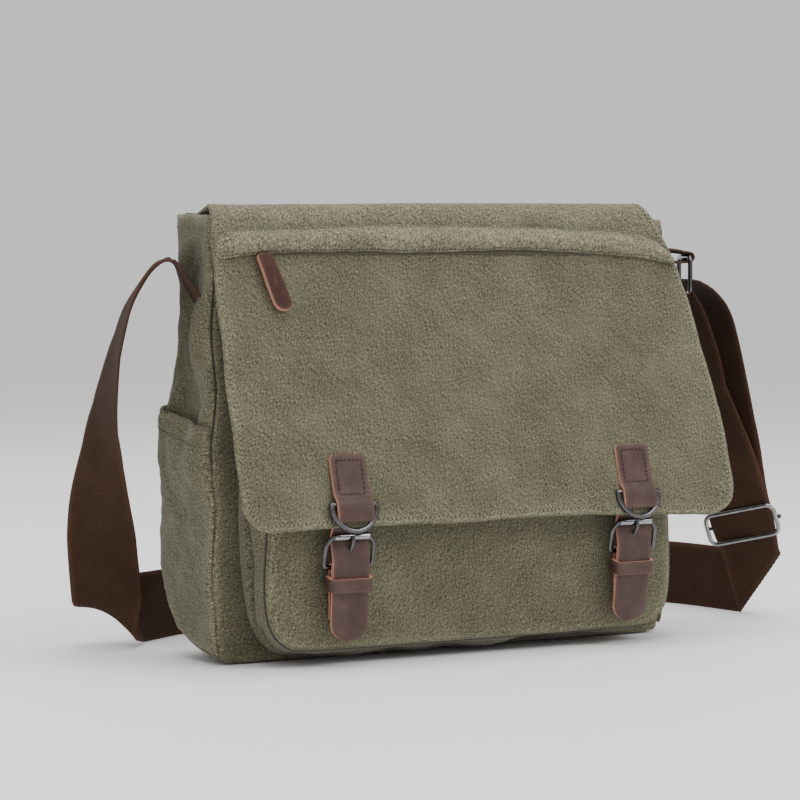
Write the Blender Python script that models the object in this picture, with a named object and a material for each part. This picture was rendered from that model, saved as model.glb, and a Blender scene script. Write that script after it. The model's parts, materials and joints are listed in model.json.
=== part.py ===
"""Canvas messenger bag with a flap, a bellows front pocket, two buckled straps and a webbing strap.

Units are metres, +Z up, the bag's front faces -Y. The origin is on the floor under the middle of the bag.
"""
import math

import bmesh
import bpy
from mathutils import Vector

# Driving dimensions
GAP = 0.0003                    # clearance kept between pieces that touch
CLOTH = 0.003                   # canvas with its backing
BODY_HALF_WIDTH = 0.187         # to the gussets' outer faces
PANEL_HALF_WIDTH = 0.190        # front and back panels, with their seam
FRONT_Y = -0.045                # front panel's outer face
BACK_Y = 0.0375                 # back panel's outer face, low down
BODY_TOP = 0.3075
FLAP_TOP = 0.320                # the flap's upper face
FLAP_BACK_Y = 0.012
FLAP_CREASE_Y = -0.0465         # the fold between the flap's top and its front
FLAP_HEM_Z = 0.097
FLAP_SLOPE = 0.285              # how far the flap's front leans out, per metre down
FLAP_HALF_TOP = 0.191
FLAP_HALF_HEM = 0.204
POCKET_FRONT_Y = -0.090
POCKET_HALF_WIDTH = 0.168
POCKET_FLOOR = 0.008
POCKET_TOP = 0.147
POCKET_CORNER = 0.030
HINGE_BACK = (0.0130, 0.3135)   # y, z of the flap's hinge at the back panel
CLOSURES = (("left", -0.113), ("right", 0.123))  # each closure's side and its x
TAB_TAPER = 0.55                # width of a tab's lower end against its full width
STRAP_HINGE = (POCKET_FRONT_Y - 0.0095, 0.0955)  # y, z where a billet bends under the flap's hem
WEBBING_HALF = 0.025
WEBBING = 0.002
ZIP_Z = 0.2852
ZIP_HALF = 0.168
SLIDER_X = -0.150
PULLER_TILT = math.radians(10)
PULLER_TOP = 0.2804

# Buckle: the lower bar is its pivot, the upper bar stands further out
BUCKLE_WIRE = 0.0014
LOWER_BAR = (POCKET_FRONT_Y - 0.0089, 0.0705)
UPPER_BAR = (POCKET_FRONT_Y - 0.0136, 0.0905)

# The back panel's outer face, low to high, as (y, z)
BACK_PROFILE = [(0.0205, 0.0030), (0.0290, 0.0095), (0.0350, 0.0220), (BACK_Y, 0.0420),
                (BACK_Y, 0.140), (0.0145, 0.3125)]

# Ring on the right side: its bars run along RING_ALONG, and RING_OUT points away from the bag
RING_ALONG = Vector((0.4512, 0.8924, 0.0))
RING_OUT = Vector((0.8924, -0.4512, 0.0))
RING_TOP = Vector((0.2415, 0.0, 0.2835))
RING_DROP = 0.027
RING_WIRE = 0.00175

# Slider, with the direction that the webbing runs down through it and the webbing's width direction
SLIDER = Vector((0.299, 0.0, 0.0735))
SLIDER_DOWN = Vector((0.330, 0.0, -0.944)).normalized()
SLIDER_ACROSS = Vector((-0.597, 0.775, -0.209)).normalized()
SLIDER_FACE = SLIDER_ACROSS.cross(SLIDER_DOWN).normalized()
SLIDER_WIRE = 0.0015

# Shoulder strap: centre points, each with the direction of the webbing's width
STRAP_ROUTE = [
    ((-0.1890, -0.0150, 0.2360), (0.00, -1.00, 0.00)),
    ((-0.1894, -0.0150, 0.2500), (0.00, -1.00, 0.00)),
    ((-0.1922, -0.0146, 0.2640), (0.00, -1.00, 0.00)),
    ((-0.1980, -0.0136, 0.2755), (-0.05, -1.00, 0.00)),
    ((-0.2055, -0.0105, 0.2800), (-0.12, -0.99, 0.00)),
    ((-0.2140, -0.0030, 0.2735), (-0.20, -0.97, 0.00)),
    ((-0.2210, 0.0070, 0.2590), (-0.27, -0.96, 0.00)),
    ((-0.2268, 0.0150, 0.2410), (-0.31, -0.95, 0.00)),
    ((-0.2303, 0.0215, 0.2200), (-0.30, -0.95, 0.00)),
    ((-0.2307, 0.0350, 0.1900), (-0.17, -0.98, 0.00)),
    ((-0.2295, 0.0450, 0.1680), (-0.08, -0.99, 0.00)),
    ((-0.2262, 0.0570, 0.1400), (0.17, -0.98, 0.00)),
    ((-0.2235, 0.0670, 0.1090), (0.52, -0.85, 0.00)),
    ((-0.2190, 0.0750, 0.0800), (0.80, -0.60, 0.00)),
    ((-0.2145, 0.0800, 0.0530), (0.86, -0.50, 0.00)),
    ((-0.2120, 0.0820, 0.0360), (0.86, -0.50, 0.02)),
    ((-0.2105, 0.0832, 0.0300), (0.71, -0.70, -0.04)),
    ((-0.2088, 0.0850, 0.0255), (0.54, -0.82, -0.18)),
    ((-0.2057, 0.0878, 0.0222), (0.37, -0.85, -0.38)),
    ((-0.2015, 0.0905, 0.0210), (0.25, -0.77, -0.59)),
    ((-0.1962, 0.0928, 0.0218), (0.18, -0.61, -0.77)),
    ((-0.1850, 0.0965, 0.0250), (0.08, -0.30, -0.95)),
    ((-0.1650, 0.1050, 0.0257), (0.02, -0.08, -1.00)),
    ((-0.1310, 0.1250, 0.0257), (0.00, 0.00, -1.00)),
    ((-0.0900, 0.1470, 0.0257), (0.00, 0.00, -1.00)),
    ((-0.0400, 0.1610, 0.0257), (0.00, 0.00, -1.00)),
    ((0.0300, 0.1680, 0.0257), (0.00, 0.00, -1.00)),
    ((0.1000, 0.1700, 0.0257), (0.00, 0.00, -1.00)),
    ((0.1700, 0.1700, 0.0257), (0.00, 0.00, -1.00)),
    ((0.2350, 0.1660, 0.0257), (0.00, 0.00, -1.00)),
    ((0.2850, 0.1530, 0.0257), (0.00, 0.00, -1.00)),
    ((0.3160, 0.1260, 0.0257), (0.00, 0.00, -1.00)),
    ((0.3240, 0.0900, 0.0257), (0.00, 0.00, -1.00)),
    ((0.3215, 0.0500, 0.0258), (0.00, 0.00, -1.00)),
    ((0.3205, 0.0270, 0.0262), (-0.06, -0.01, -1.00)),
    ((0.3200, 0.0180, 0.0268), (-0.16, -0.02, -0.98)),
    ((0.3192, 0.0115, 0.0280), (-0.41, 0.02, -0.91)),
    ((0.3170, 0.0065, 0.0300), (-0.62, 0.14, -0.78)),
    ((0.3138, 0.0028, 0.0335), (-0.72, 0.36, -0.60)),
    ((0.3105, 0.0008, 0.0400), (-0.68, 0.62, -0.38)),
    ((0.3080, 0.0000, 0.0478), (-0.62, 0.75, -0.24)),
    ((0.3056, 0.0000, 0.0546), (-0.597, 0.775, -0.209)),
    ((0.2990, 0.0000, 0.0735), (-0.597, 0.775, -0.209)),
    ((0.2906, 0.0000, 0.0975), (-0.597, 0.775, -0.209)),
    ((0.2841, 0.0000, 0.1160), (-0.597, 0.775, -0.209)),
    ((0.2705, -0.0005, 0.1550), (-0.27, 0.95, -0.12)),
    ((0.2590, -0.0005, 0.1850), (0.05, 1.00, -0.04)),
    ((0.2500, 0.0000, 0.2080), (0.24, 0.97, 0.00)),
    ((0.2425, 0.0010, 0.2330), (0.38, 0.92, 0.00)),
    ((0.2384, 0.0018, 0.2500), (0.45, 0.89, 0.00)),
    ((0.2378, 0.0018, 0.2580), (0.45, 0.89, 0.00)),
    ((0.2387, 0.0014, 0.2630), (0.45, 0.89, 0.00)),
    ((0.2400, 0.0008, 0.2649), (0.45, 0.89, 0.00)),
    ((0.2412, 0.0002, 0.2654), (0.45, 0.89, 0.00)),
]

# The webbing's end: from the ring back down to the slider's centre bar
STRAP_END_ROUTE = [
    ((0.2430, -0.0007, 0.2658), (0.45, 0.89, 0.00)),
    ((0.2450, -0.0017, 0.2656), (0.45, 0.89, 0.00)),
    ((0.2490, -0.0032, 0.2641), (0.45, 0.89, 0.00)),
    ((0.2575, -0.0045, 0.2585), (0.44, 0.90, 0.00)),
    ((0.2665, -0.0038, 0.2490), (0.43, 0.90, 0.00)),
    ((0.2725, -0.0025, 0.2360), (0.38, 0.92, 0.00)),
    ((0.2775, -0.0015, 0.2150), (0.20, 0.98, -0.04)),
    ((0.2812, -0.0010, 0.1900), (0.02, 1.00, -0.07)),
    ((0.2855, 0.0010, 0.1600), (-0.23, 0.96, -0.12)),
    ((0.2890, 0.0025, 0.1350), (-0.43, 0.88, -0.17)),
    ((0.2914, 0.0032, 0.1130), (-0.60, 0.77, -0.21)),
    ((0.2952, 0.0027, 0.0932), (-0.597, 0.775, -0.209)),
    ((0.3005, 0.0024, 0.0769), (-0.597, 0.775, -0.209)),
]

# Webbing tab that holds the ring: out from the gusset, over the ring's upper bar and back
RING_TAB_ROUTE = [
    ((0.1876, -0.0130, 0.2895), (0.00, 1.00, 0.00)),
    ((0.2050, -0.0088, 0.2895), (0.15, 0.99, 0.00)),
    ((0.2250, -0.0040, 0.2885), (0.35, 0.94, 0.00)),
    ((0.2360, -0.0013, 0.2874), (0.45, 0.89, 0.00)),
    ((0.2415, 0.0000, 0.2869), (0.45, 0.89, 0.00)),
    ((0.2441, -0.0013, 0.2857), (0.45, 0.89, 0.00)),
    ((0.2447, -0.0016, 0.2835), (0.45, 0.89, 0.00)),
    ((0.2441, -0.0013, 0.2813), (0.45, 0.89, 0.00)),
    ((0.2415, 0.0000, 0.2801), (0.45, 0.89, 0.00)),
    ((0.2360, -0.0013, 0.2797), (0.45, 0.89, 0.00)),
    ((0.2250, -0.0040, 0.2795), (0.35, 0.94, 0.00)),
    ((0.2050, -0.0088, 0.2815), (0.15, 0.99, 0.00)),
    ((0.1876, -0.0130, 0.2858), (0.00, 1.00, 0.00)),
]

MATERIALS = {
    "canvas": ((0.150, 0.140, 0.092), 0.90, 0.0),
    "lining_cloth": ((0.045, 0.036, 0.030), 0.85, 0.0),
    "leather": ((0.110, 0.060, 0.050), 0.50, 0.0),
    "webbing": ((0.045, 0.026, 0.020), 0.75, 0.0),
    "gunmetal": ((0.330, 0.330, 0.340), 0.28, 1.0),
    "zip_cloth": ((0.060, 0.055, 0.040), 0.80, 0.0),
    "board": ((0.030, 0.030, 0.032), 0.60, 0.0),
    "padding": ((0.060, 0.048, 0.040), 0.85, 0.0),
}


def clear_scene():
    for item in list(bpy.data.objects):
        bpy.data.objects.remove(item, do_unlink=True)


def material(name):
    found = bpy.data.materials.get(name)
    if found:
        return found
    colour, roughness, metallic = MATERIALS[name]
    made = bpy.data.materials.new(name)
    made.use_nodes = True
    shader = made.node_tree.nodes["Principled BSDF"]
    shader.inputs["Base Color"].default_value = (*colour, 1.0)
    shader.inputs["Roughness"].default_value = roughness
    shader.inputs["Metallic"].default_value = metallic
    return made


def pivot(name, location):
    """An empty on a joint's axis, which the moving pieces hang from."""
    empty = bpy.data.objects.new(name, None)
    empty.location = location
    bpy.context.collection.objects.link(empty)
    return empty


def add_object(name, mesh_or_curve, slot, parent=None):
    """Link an object whose points are in world coordinates, under a pivot if it has one."""
    item = bpy.data.objects.new(name, mesh_or_curve)
    item.data.materials.append(material(slot))
    bpy.context.collection.objects.link(item)
    if parent:
        item.parent = parent
        item.matrix_parent_inverse.translation = [-value for value in parent.location]
    return item


def finish_mesh(name, bm, slot, parent=None, smooth=False):
    bmesh.ops.recalc_face_normals(bm, faces=bm.faces)
    mesh = bpy.data.meshes.new(name)
    bm.to_mesh(mesh)
    bm.free()
    if smooth:
        mesh.shade_smooth()
        mesh.set_sharp_from_angle(angle=math.radians(40))
    return add_object(name, mesh, slot, parent)


def extrude_outline(bm, outline, step):
    """A closed solid from one outline of 3-D points, moved along step."""
    near = [bm.verts.new(point) for point in outline]
    face = bm.faces.new(near)
    grown = bmesh.ops.extrude_face_region(bm, geom=[face])
    moved = [item for item in grown["geom"] if isinstance(item, bmesh.types.BMVert)]
    bmesh.ops.translate(bm, vec=step, verts=moved)
    return moved


def offset_line(points, distance):
    """A polyline moved to its left by distance, mitred at its corners."""
    result = []
    for index, (a, b) in enumerate(points):
        normals = []
        for start in (index - 1, index):
            if 0 <= start < len(points) - 1:
                du = points[start + 1][0] - points[start][0]
                dv = points[start + 1][1] - points[start][1]
                length = math.hypot(du, dv)
                normals.append((-dv / length, du / length))
        nu = sum(normal[0] for normal in normals) / len(normals)
        nv = sum(normal[1] for normal in normals) / len(normals)
        size = math.hypot(nu, nv)
        mitre = distance / (size * size)
        result.append((a + nu * mitre, b + nv * mitre))
    return result


def side_strip(name, profile, thickness, x0, x1, slot, parent=None):
    """A sheet bent along a (y, z) profile, thickened to the profile's left and running from x0 to x1."""
    ring = profile + offset_line(profile, thickness)[::-1]
    bm = bmesh.new()
    extrude_outline(bm, [(x0, y, z) for y, z in ring], Vector((x1 - x0, 0, 0)))
    return finish_mesh(name, bm, slot, parent)


def rounded_panel(half_top, half_low, top, low, corner, segments=6):
    """Outline in (x, z) of a panel with square upper corners and rounded lower ones."""
    points = [(half_top, top), (-half_top, top)]
    for side in (-1, 1):
        centre = (side * (half_low - corner), low + corner)
        for step in range(segments + 1):
            angle = math.pi / 2 * step / segments
            if side < 0:
                points.append((centre[0] - corner * math.cos(angle), centre[1] - corner * math.sin(angle)))
            else:
                points.append((centre[0] + corner * math.sin(angle), centre[1] - corner * math.cos(angle)))
    return points


def front_panel_solid(name, outline, thickness, y_of_z, slot, parent=None):
    """A panel cut to an (x, z) outline whose front face lies at y_of_z(z)."""
    bm = bmesh.new()
    extrude_outline(bm, [(x, 0.0, z) for x, z in outline], Vector((0, thickness, 0)))
    for vert in bm.verts:
        vert.co.y += y_of_z(vert.co.z)
    return finish_mesh(name, bm, slot, parent)


def box(name, low, high, slot, parent=None):
    bm = bmesh.new()
    outline = [(low[0], low[1], low[2]), (high[0], low[1], low[2]),
               (high[0], high[1], low[2]), (low[0], high[1], low[2])]
    extrude_outline(bm, outline, Vector((0, 0, high[2] - low[2])))
    return finish_mesh(name, bm, slot, parent)


def disc(name, centre, radius, depth, slot, parent=None, sides=16):
    """A disc whose axis is Y, from centre towards +Y by depth."""
    bm = bmesh.new()
    outline = [(centre[0] + radius * math.cos(2 * math.pi * k / sides), centre[1],
                centre[2] + radius * math.sin(2 * math.pi * k / sides)) for k in range(sides)]
    extrude_outline(bm, outline, Vector((0, depth, 0)))
    return finish_mesh(name, bm, slot, parent, smooth=True)


def wire(name, points, radius, slot, parent=None, closed=False, sides=2):
    """A round wire along a polyline."""
    curve = bpy.data.curves.new(name, "CURVE")
    curve.dimensions = "3D"
    curve.bevel_depth = radius
    curve.bevel_resolution = sides
    curve.render_resolution_u = 0
    curve.use_fill_caps = True
    spline = curve.splines.new("POLY")
    spline.points.add(len(points) - 1)
    for point, place in zip(spline.points, points):
        point.co = (*place, 1.0)
    spline.use_cyclic_u = closed
    return add_object(name, curve, slot, parent)


def smooth_route(route, spacing):
    """Points and width directions at an even spacing on a smooth curve through the route's points."""
    places = [Vector(place) for place, across in route]
    widths = [Vector(across).normalized() for place, across in route]
    places = [places[0] * 2 - places[1]] + places + [places[-1] * 2 - places[-2]]
    widths = [widths[0]] + widths + [widths[-1]]
    fine = []
    for index in range(1, len(places) - 2):
        a, b, c, d = places[index - 1:index + 3]
        for step in range(12):
            t = step / 12
            place = 0.5 * (2 * b + (c - a) * t + (2 * a - 5 * b + 4 * c - d) * t * t
                           + (3 * b - a - 3 * c + d) * t ** 3)
            fine.append((place, widths[index].lerp(widths[index + 1], t)))
    fine.append((places[-2], widths[-2]))
    result = [fine[0]]
    travelled = 0.0
    for (before, unused), item in zip(fine, fine[1:]):
        travelled += (item[0] - before).length
        if travelled >= spacing:
            result.append(item)
            travelled = 0.0
    if (result[-1][0] - fine[-1][0]).length < spacing / 2:
        result.pop()
    result.append(fine[-1])
    return result


def ribbon(name, route, half_width, thickness, spacing, square=True):
    """Flat webbing that follows a route and turns with its width directions, kept square to it if asked."""
    samples = smooth_route(route, spacing)
    bm = bmesh.new()
    rings = []
    for index, (place, across) in enumerate(samples):
        before = samples[max(index - 1, 0)][0]
        after = samples[min(index + 1, len(samples) - 1)][0]
        along = (after - before).normalized()
        if square:
            across = across - along * across.dot(along)
        across = across.normalized()
        facing = along.cross(across).normalized()
        corners = [(-1, -1), (1, -1), (1, 1), (-1, 1)]
        rings.append([bm.verts.new(place + across * (half_width * u) + facing * (thickness / 2 * v))
                      for u, v in corners])
    for low, high in zip(rings, rings[1:]):
        for k in range(4):
            bm.faces.new((low[k], low[(k + 1) % 4], high[(k + 1) % 4], high[k]))
    bm.faces.new(rings[0])
    bm.faces.new(rings[-1][::-1])
    return finish_mesh(name, bm, "webbing")


def flap_face(z):
    """y of the flap front's outer face at a height."""
    return FLAP_CREASE_Y - (FLAP_TOP - z) * FLAP_SLOPE


def cut(target, name, low, high):
    """Subtract a box from an object."""
    cutter = box(name, low, high, "board")
    cutter.hide_render = True
    cutter.display_type = "WIRE"
    cutter.parent = target.parent
    if target.parent:
        cutter.matrix_parent_inverse.translation = [-value for value in target.parent.location]
    modifier = target.modifiers.new(name, "BOOLEAN")
    modifier.operation = "DIFFERENCE"
    modifier.solver = "EXACT"
    modifier.object = cutter


def back_face(z, inset):
    """y of the back panel's outer face at a height, moved inwards by inset."""
    line = offset_line(BACK_PROFILE, inset)
    for (y0, z0), (y1, z1) in zip(line, line[1:]):
        if z <= z1:
            return y0 + (y1 - y0) * max(z - z0, 0.0) / (z1 - z0)
    return line[-1][0]


def build_body():
    box("bottom_panel", (-PANEL_HALF_WIDTH, FRONT_Y, 0.0), (PANEL_HALF_WIDTH, 0.0195, 0.0025), "canvas")
    side_strip("back_panel", BACK_PROFILE, CLOTH, -PANEL_HALF_WIDTH, PANEL_HALF_WIDTH, "canvas")
    box("front_panel", (-PANEL_HALF_WIDTH, FRONT_Y, 0.0028),
        (PANEL_HALF_WIDTH, FRONT_Y + CLOTH, 0.300), "canvas")
    back = offset_line(BACK_PROFILE, CLOTH + GAP)
    front_y = FRONT_Y + CLOTH + GAP
    top_y = back_face(BODY_TOP, CLOTH + GAP)
    outline = [(front_y, 0.0028), (back[0][0] - 0.002, 0.0028)] + back[:-1]
    outline += [(top_y, BODY_TOP), (front_y, BODY_TOP)]
    for name, side in (("left_gusset", -1), ("right_gusset", 1)):
        bm = bmesh.new()
        inner = side * (BODY_HALF_WIDTH - CLOTH)
        extrude_outline(bm, [(inner, y, z) for y, z in outline], Vector((side * CLOTH, 0, 0)))
        finish_mesh(name, bm, "canvas")
    box("base_board", (-0.178, -0.0400, 0.0028), (0.178, 0.0160, 0.0052), "board")
    build_lining()
    divider = [(0.0010, 0.0075), (0.0010, 0.2600)]
    side_strip("laptop_divider", divider, 0.005, -0.176, 0.176, "padding")


def build_lining():
    """An open-topped thin bag inside the panels."""
    half = BODY_HALF_WIDTH - CLOTH - GAP
    wall = 0.001
    levels = [0.0055, 0.0120, 0.0220, 0.0420, 0.1400, 0.3020]
    bm = bmesh.new()

    def loop(inset, z):
        y0 = FRONT_Y + CLOTH + GAP + inset
        y1 = back_face(z, CLOTH + 2 * GAP) - inset
        x = half - inset
        return [bm.verts.new(point) for point in ((-x, y0, z), (x, y0, z), (x, y1, z), (-x, y1, z))]

    outer = [loop(0.0, z) for z in levels]
    inner = [loop(wall, max(z, levels[0] + wall)) for z in levels]
    for walls in (outer, inner):
        for low, high in zip(walls, walls[1:]):
            for k in range(4):
                bm.faces.new((low[k], low[(k + 1) % 4], high[(k + 1) % 4], high[k]))
    bm.faces.new(outer[0])
    bm.faces.new(inner[0])
    for k in range(4):
        bm.faces.new((outer[-1][k], outer[-1][(k + 1) % 4], inner[-1][(k + 1) % 4], inner[-1][k]))
    finish_mesh("lining", bm, "lining_cloth")


def build_front_pocket():
    outline = rounded_panel(POCKET_HALF_WIDTH, POCKET_HALF_WIDTH, POCKET_TOP, POCKET_FLOOR, POCKET_CORNER)
    front_panel_solid("pocket_front", outline, CLOTH, lambda z: POCKET_FRONT_Y, "canvas")
    band_top = POCKET_TOP - 0.005
    band = rounded_panel(POCKET_HALF_WIDTH, POCKET_HALF_WIDTH, band_top, POCKET_FLOOR, POCKET_CORNER)[1:]
    band.append((POCKET_HALF_WIDTH, band_top))
    ring = band + offset_line(band, 0.002)[::-1]
    bm = bmesh.new()
    start = POCKET_FRONT_Y + CLOTH + GAP
    extrude_outline(bm, [(x, start, z) for x, z in ring], Vector((0, FRONT_Y - GAP - start, 0)))
    finish_mesh("pocket_gusset", bm, "canvas")
    radius = 0.0012
    edge = [(x, z) for x, z in offset_line(band, -(radius + 2 * GAP))]
    wire("pocket_piping", [(x, POCKET_FRONT_Y + 0.0015, z) for x, z in edge], radius, "canvas")


def build_side_pocket(name, side):
    """A slip pocket on a gusset: a shallow tray, open at its slanted top."""
    near = side * (BODY_HALF_WIDTH + GAP)
    far = side * 0.1955
    outline = [(-0.0400, 0.0130), (0.0220, 0.0130), (0.0270, 0.0280), (0.0270, 0.1745), (-0.0400, 0.1640)]
    bm = bmesh.new()
    extrude_outline(bm, [(far, y, z) for y, z in outline], Vector((near - far, 0, 0)))
    tray = finish_mesh(name, bm, "canvas")
    inner = side * 0.1937
    beyond = side * 0.1860
    cut(tray, name + "_hollow", (min(inner, beyond), -0.0382, 0.0150), (max(inner, beyond), 0.0252, 0.1800))


def build_flap(top, front):
    """The flap's top on one pivot and its front on another, which meet at the crease."""
    low = FLAP_TOP - CLOTH
    box("flap_top_panel", (-FLAP_HALF_TOP, FLAP_CREASE_Y + 0.0025, low),
        (FLAP_HALF_TOP, FLAP_BACK_Y, FLAP_TOP), "canvas", top)
    box("flap_top_lining", (-FLAP_HALF_TOP + 0.002, FLAP_CREASE_Y + 0.0045, low - GAP - 0.0012),
        (FLAP_HALF_TOP - 0.002, FLAP_BACK_Y, low - GAP), "lining_cloth", top)
    outline = rounded_panel(FLAP_HALF_TOP, FLAP_HALF_HEM, FLAP_TOP - 0.0035, FLAP_HEM_Z, 0.022)
    front_panel_solid("flap_front_panel", outline, CLOTH, flap_face, "canvas", front)
    outline = rounded_panel(FLAP_HALF_TOP - 0.003, FLAP_HALF_HEM - 0.003, FLAP_TOP - 0.0065,
                            FLAP_HEM_Z + 0.002, 0.020)
    front_panel_solid("flap_front_lining", outline, 0.001, lambda z: flap_face(z) + CLOTH + GAP,
                      "lining_cloth", front)
    hood_low = 0.280
    hood_top = 0.298
    profile = [(flap_face(hood_top) - GAP, hood_top), (flap_face(hood_low) - 0.0062, hood_low)]
    side_strip("flap_hood", profile, -0.0022, -0.1885, 0.1885, "canvas", front)
    tape_top = ZIP_Z + 0.0053
    front_panel_solid("zip_tape", [(-ZIP_HALF, hood_low), (ZIP_HALF, hood_low), (ZIP_HALF, tape_top),
                                   (-ZIP_HALF, tape_top)],
                      0.0008, lambda z: flap_face(z) - GAP - 0.0008, "zip_cloth", front)
    front_panel_solid("zip_teeth", [(-ZIP_HALF, ZIP_Z - 0.0013), (ZIP_HALF, ZIP_Z - 0.0013),
                                    (ZIP_HALF, ZIP_Z + 0.0013), (-ZIP_HALF, ZIP_Z + 0.0013)],
                      0.0010, lambda z: flap_face(z) - 2 * GAP - 0.0018, "gunmetal", front)


def build_zip(slider_pivot, puller_pivot):
    """The slider in front of the teeth and the leather puller that hangs from it."""
    slider = [(SLIDER_X - 0.006, 0.2816), (SLIDER_X + 0.006, 0.2816), (SLIDER_X + 0.0045, 0.2868),
              (SLIDER_X - 0.0045, 0.2868)]
    front_panel_solid("zip_slider", slider, 0.0010, lambda z: flap_face(z) - 0.0038, "gunmetal", slider_pivot)
    half = 0.0065
    length = 0.037
    outline = [(-half * 0.8, 0.0), (half * 0.8, 0.0), (half, -length * 0.5), (half, -length * 0.86),
               (half * 0.6, -length), (-half * 0.6, -length), (-half, -length * 0.86), (-half, -length * 0.5)]
    turned = []
    for u, v in outline:
        x = SLIDER_X + u * math.cos(PULLER_TILT) - v * math.sin(PULLER_TILT)
        turned.append((x, PULLER_TOP + u * math.sin(PULLER_TILT) * 0.5 + v * math.cos(PULLER_TILT)))
    front_panel_solid("zip_puller", turned, 0.0024, lambda z: flap_face(z) - 0.0042, "leather", puller_pivot)


def build_tab(name, x, front):
    """Leather tab sewn on the flap, raised where the D-ring's bar lies under it."""
    heights = [(0.1463, 0.0), (0.1195, 0.0), (0.1172, 0.0034), (0.1088, 0.0034), (0.1065, 0.0), (0.1020, 0.0)]
    profile = [(flap_face(z) - GAP - rise, z) for z, rise in heights]
    tab = side_strip(name, profile, -0.0022, x - 0.0135, x + 0.0135, "leather", front)
    for vert in tab.data.vertices:
        if vert.co.z < heights[-1][0] + 0.0015:
            vert.co.x = x + (vert.co.x - x) * TAB_TAPER


def build_d_ring(name, x, parent):
    """A bar and a bow, lying on the flap."""
    half = 0.0172
    bar_z = 0.113
    points = []
    for step in range(17):
        angle = math.pi * step / 16
        z = bar_z - half * math.sin(angle)
        points.append((x + half * math.cos(angle), flap_face(z) - 0.0019, z))
    bar_y = flap_face(bar_z) - 0.0019
    points += [(x - half * 0.4, bar_y, bar_z), (x + half * 0.4, bar_y, bar_z)]
    wire(name, points, 0.0013, "gunmetal", parent, closed=True)


def build_closure(side, x, parent, prong_parent):
    """The billet with its buckle: everything that hangs from under the flap's hem."""
    low_y, low_z = LOWER_BAR
    high_y, high_z = UPPER_BAR
    face = POCKET_FRONT_Y
    billet = [(face - 0.0137, 0.0950), (face - 0.0115, 0.0905), (face - 0.0144, 0.0725),
              (face - 0.0144, 0.0690), (face - 0.0125, 0.0550), (face - 0.0100, 0.0195)]
    strap = side_strip("billet_" + side, billet[::-1], -0.0020, x - 0.014, x + 0.014, "leather", parent)
    cut(strap, "billet_slot_" + side, (x - 0.0015, face - 0.0210, 0.0718),
        (x + 0.0015, face - 0.0060, 0.0865))
    wrap = []
    radius = BUCKLE_WIRE + GAP
    for step in range(9):
        angle = math.pi * step / 8
        wrap.append((low_y + radius * math.cos(angle), low_z + radius * math.sin(angle)))
    chape = [(low_y + radius, 0.0340)] + wrap + [(face - 0.0100, 0.0662), (face - 0.0085, 0.0560)]
    fold = side_strip("chape_" + side, chape, -0.0015, x - 0.0135, x + 0.0135, "leather", parent)
    cut(fold, "chape_slot_" + side, (x - 0.0013, face - 0.0160, 0.0664), (x + 0.0013, face - 0.0040, 0.0760))
    half = 0.0186
    corner = 0.0061
    shoulder = high_z - 0.0055
    shoulder_y = low_y + (high_y - low_y) * (shoulder - low_z) / (high_z - low_z)
    frame = [(x - half, low_y, low_z), (x + half, low_y, low_z), (x + half, shoulder_y, shoulder),
             (x + half - corner, high_y, high_z), (x - half + corner, high_y, high_z),
             (x - half, shoulder_y, shoulder)]
    wire("buckle_frame_" + side, frame, BUCKLE_WIRE, "gunmetal", parent, closed=True, sides=3)
    prong = []
    ring = 0.00245
    for step in range(11):
        angle = math.radians(80 - 260 * step / 10)
        prong.append((x, low_y + ring * math.cos(angle), low_z + ring * math.sin(angle)))
    prong += [(x, face - 0.0117, 0.0752), (x, face - 0.0132, 0.0790), (x, face - 0.0150, 0.0838),
              (x, face - 0.0164, 0.0880), (x, face - 0.0165, 0.0925)]
    wire("buckle_prong_" + side, prong, 0.00075, "gunmetal", prong_parent)
    build_keeper("keeper_" + side, x, parent)
    disc("snap_stud_" + side, (x, face - 0.0054, 0.0440), 0.0080, 0.0016, "gunmetal", parent)
    disc("snap_socket_" + side, (x, face - 0.0035, 0.0440), 0.0090, 0.0032, "gunmetal")


def build_keeper(name, x, parent):
    """A leather band round the billet and the chape."""
    low = 0.0552
    height = 0.0090
    wall = 0.0015
    inner_half = 0.0146
    inner_y = (POCKET_FRONT_Y - 0.0139, POCKET_FRONT_Y - 0.0054)
    bm = bmesh.new()
    loops = []
    for z in (low, low + height):
        for grow in (wall, 0.0):
            x0, x1 = x - inner_half - grow, x + inner_half + grow
            y0, y1 = inner_y[0] - grow, inner_y[1] + grow
            loops.append([bm.verts.new(p) for p in ((x0, y0, z), (x1, y0, z), (x1, y1, z), (x0, y1, z))])
    outer_low, inner_low, outer_high, inner_high = loops
    for a, b in ((outer_low, outer_high), (inner_low, inner_high),
                 (outer_low, inner_low), (outer_high, inner_high)):
        for k in range(4):
            bm.faces.new((a[k], a[(k + 1) % 4], b[(k + 1) % 4], b[k]))
    finish_mesh(name, bm, "leather", parent)


def rounded_rectangle(centre, along, up, half_along, half_up, corner, segments=3):
    """Points of a rectangle with rounded corners in the plane of along and up."""
    points = []
    for quarter, (su, sv) in enumerate(((1, 1), (-1, 1), (-1, -1), (1, -1))):
        for step in range(segments + 1):
            angle = math.pi / 2 * (quarter + step / segments)
            u = su * (half_along - corner) + corner * math.cos(angle)
            v = sv * (half_up - corner) + corner * math.sin(angle)
            points.append(centre + along * u + up * v)
    return points


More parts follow.
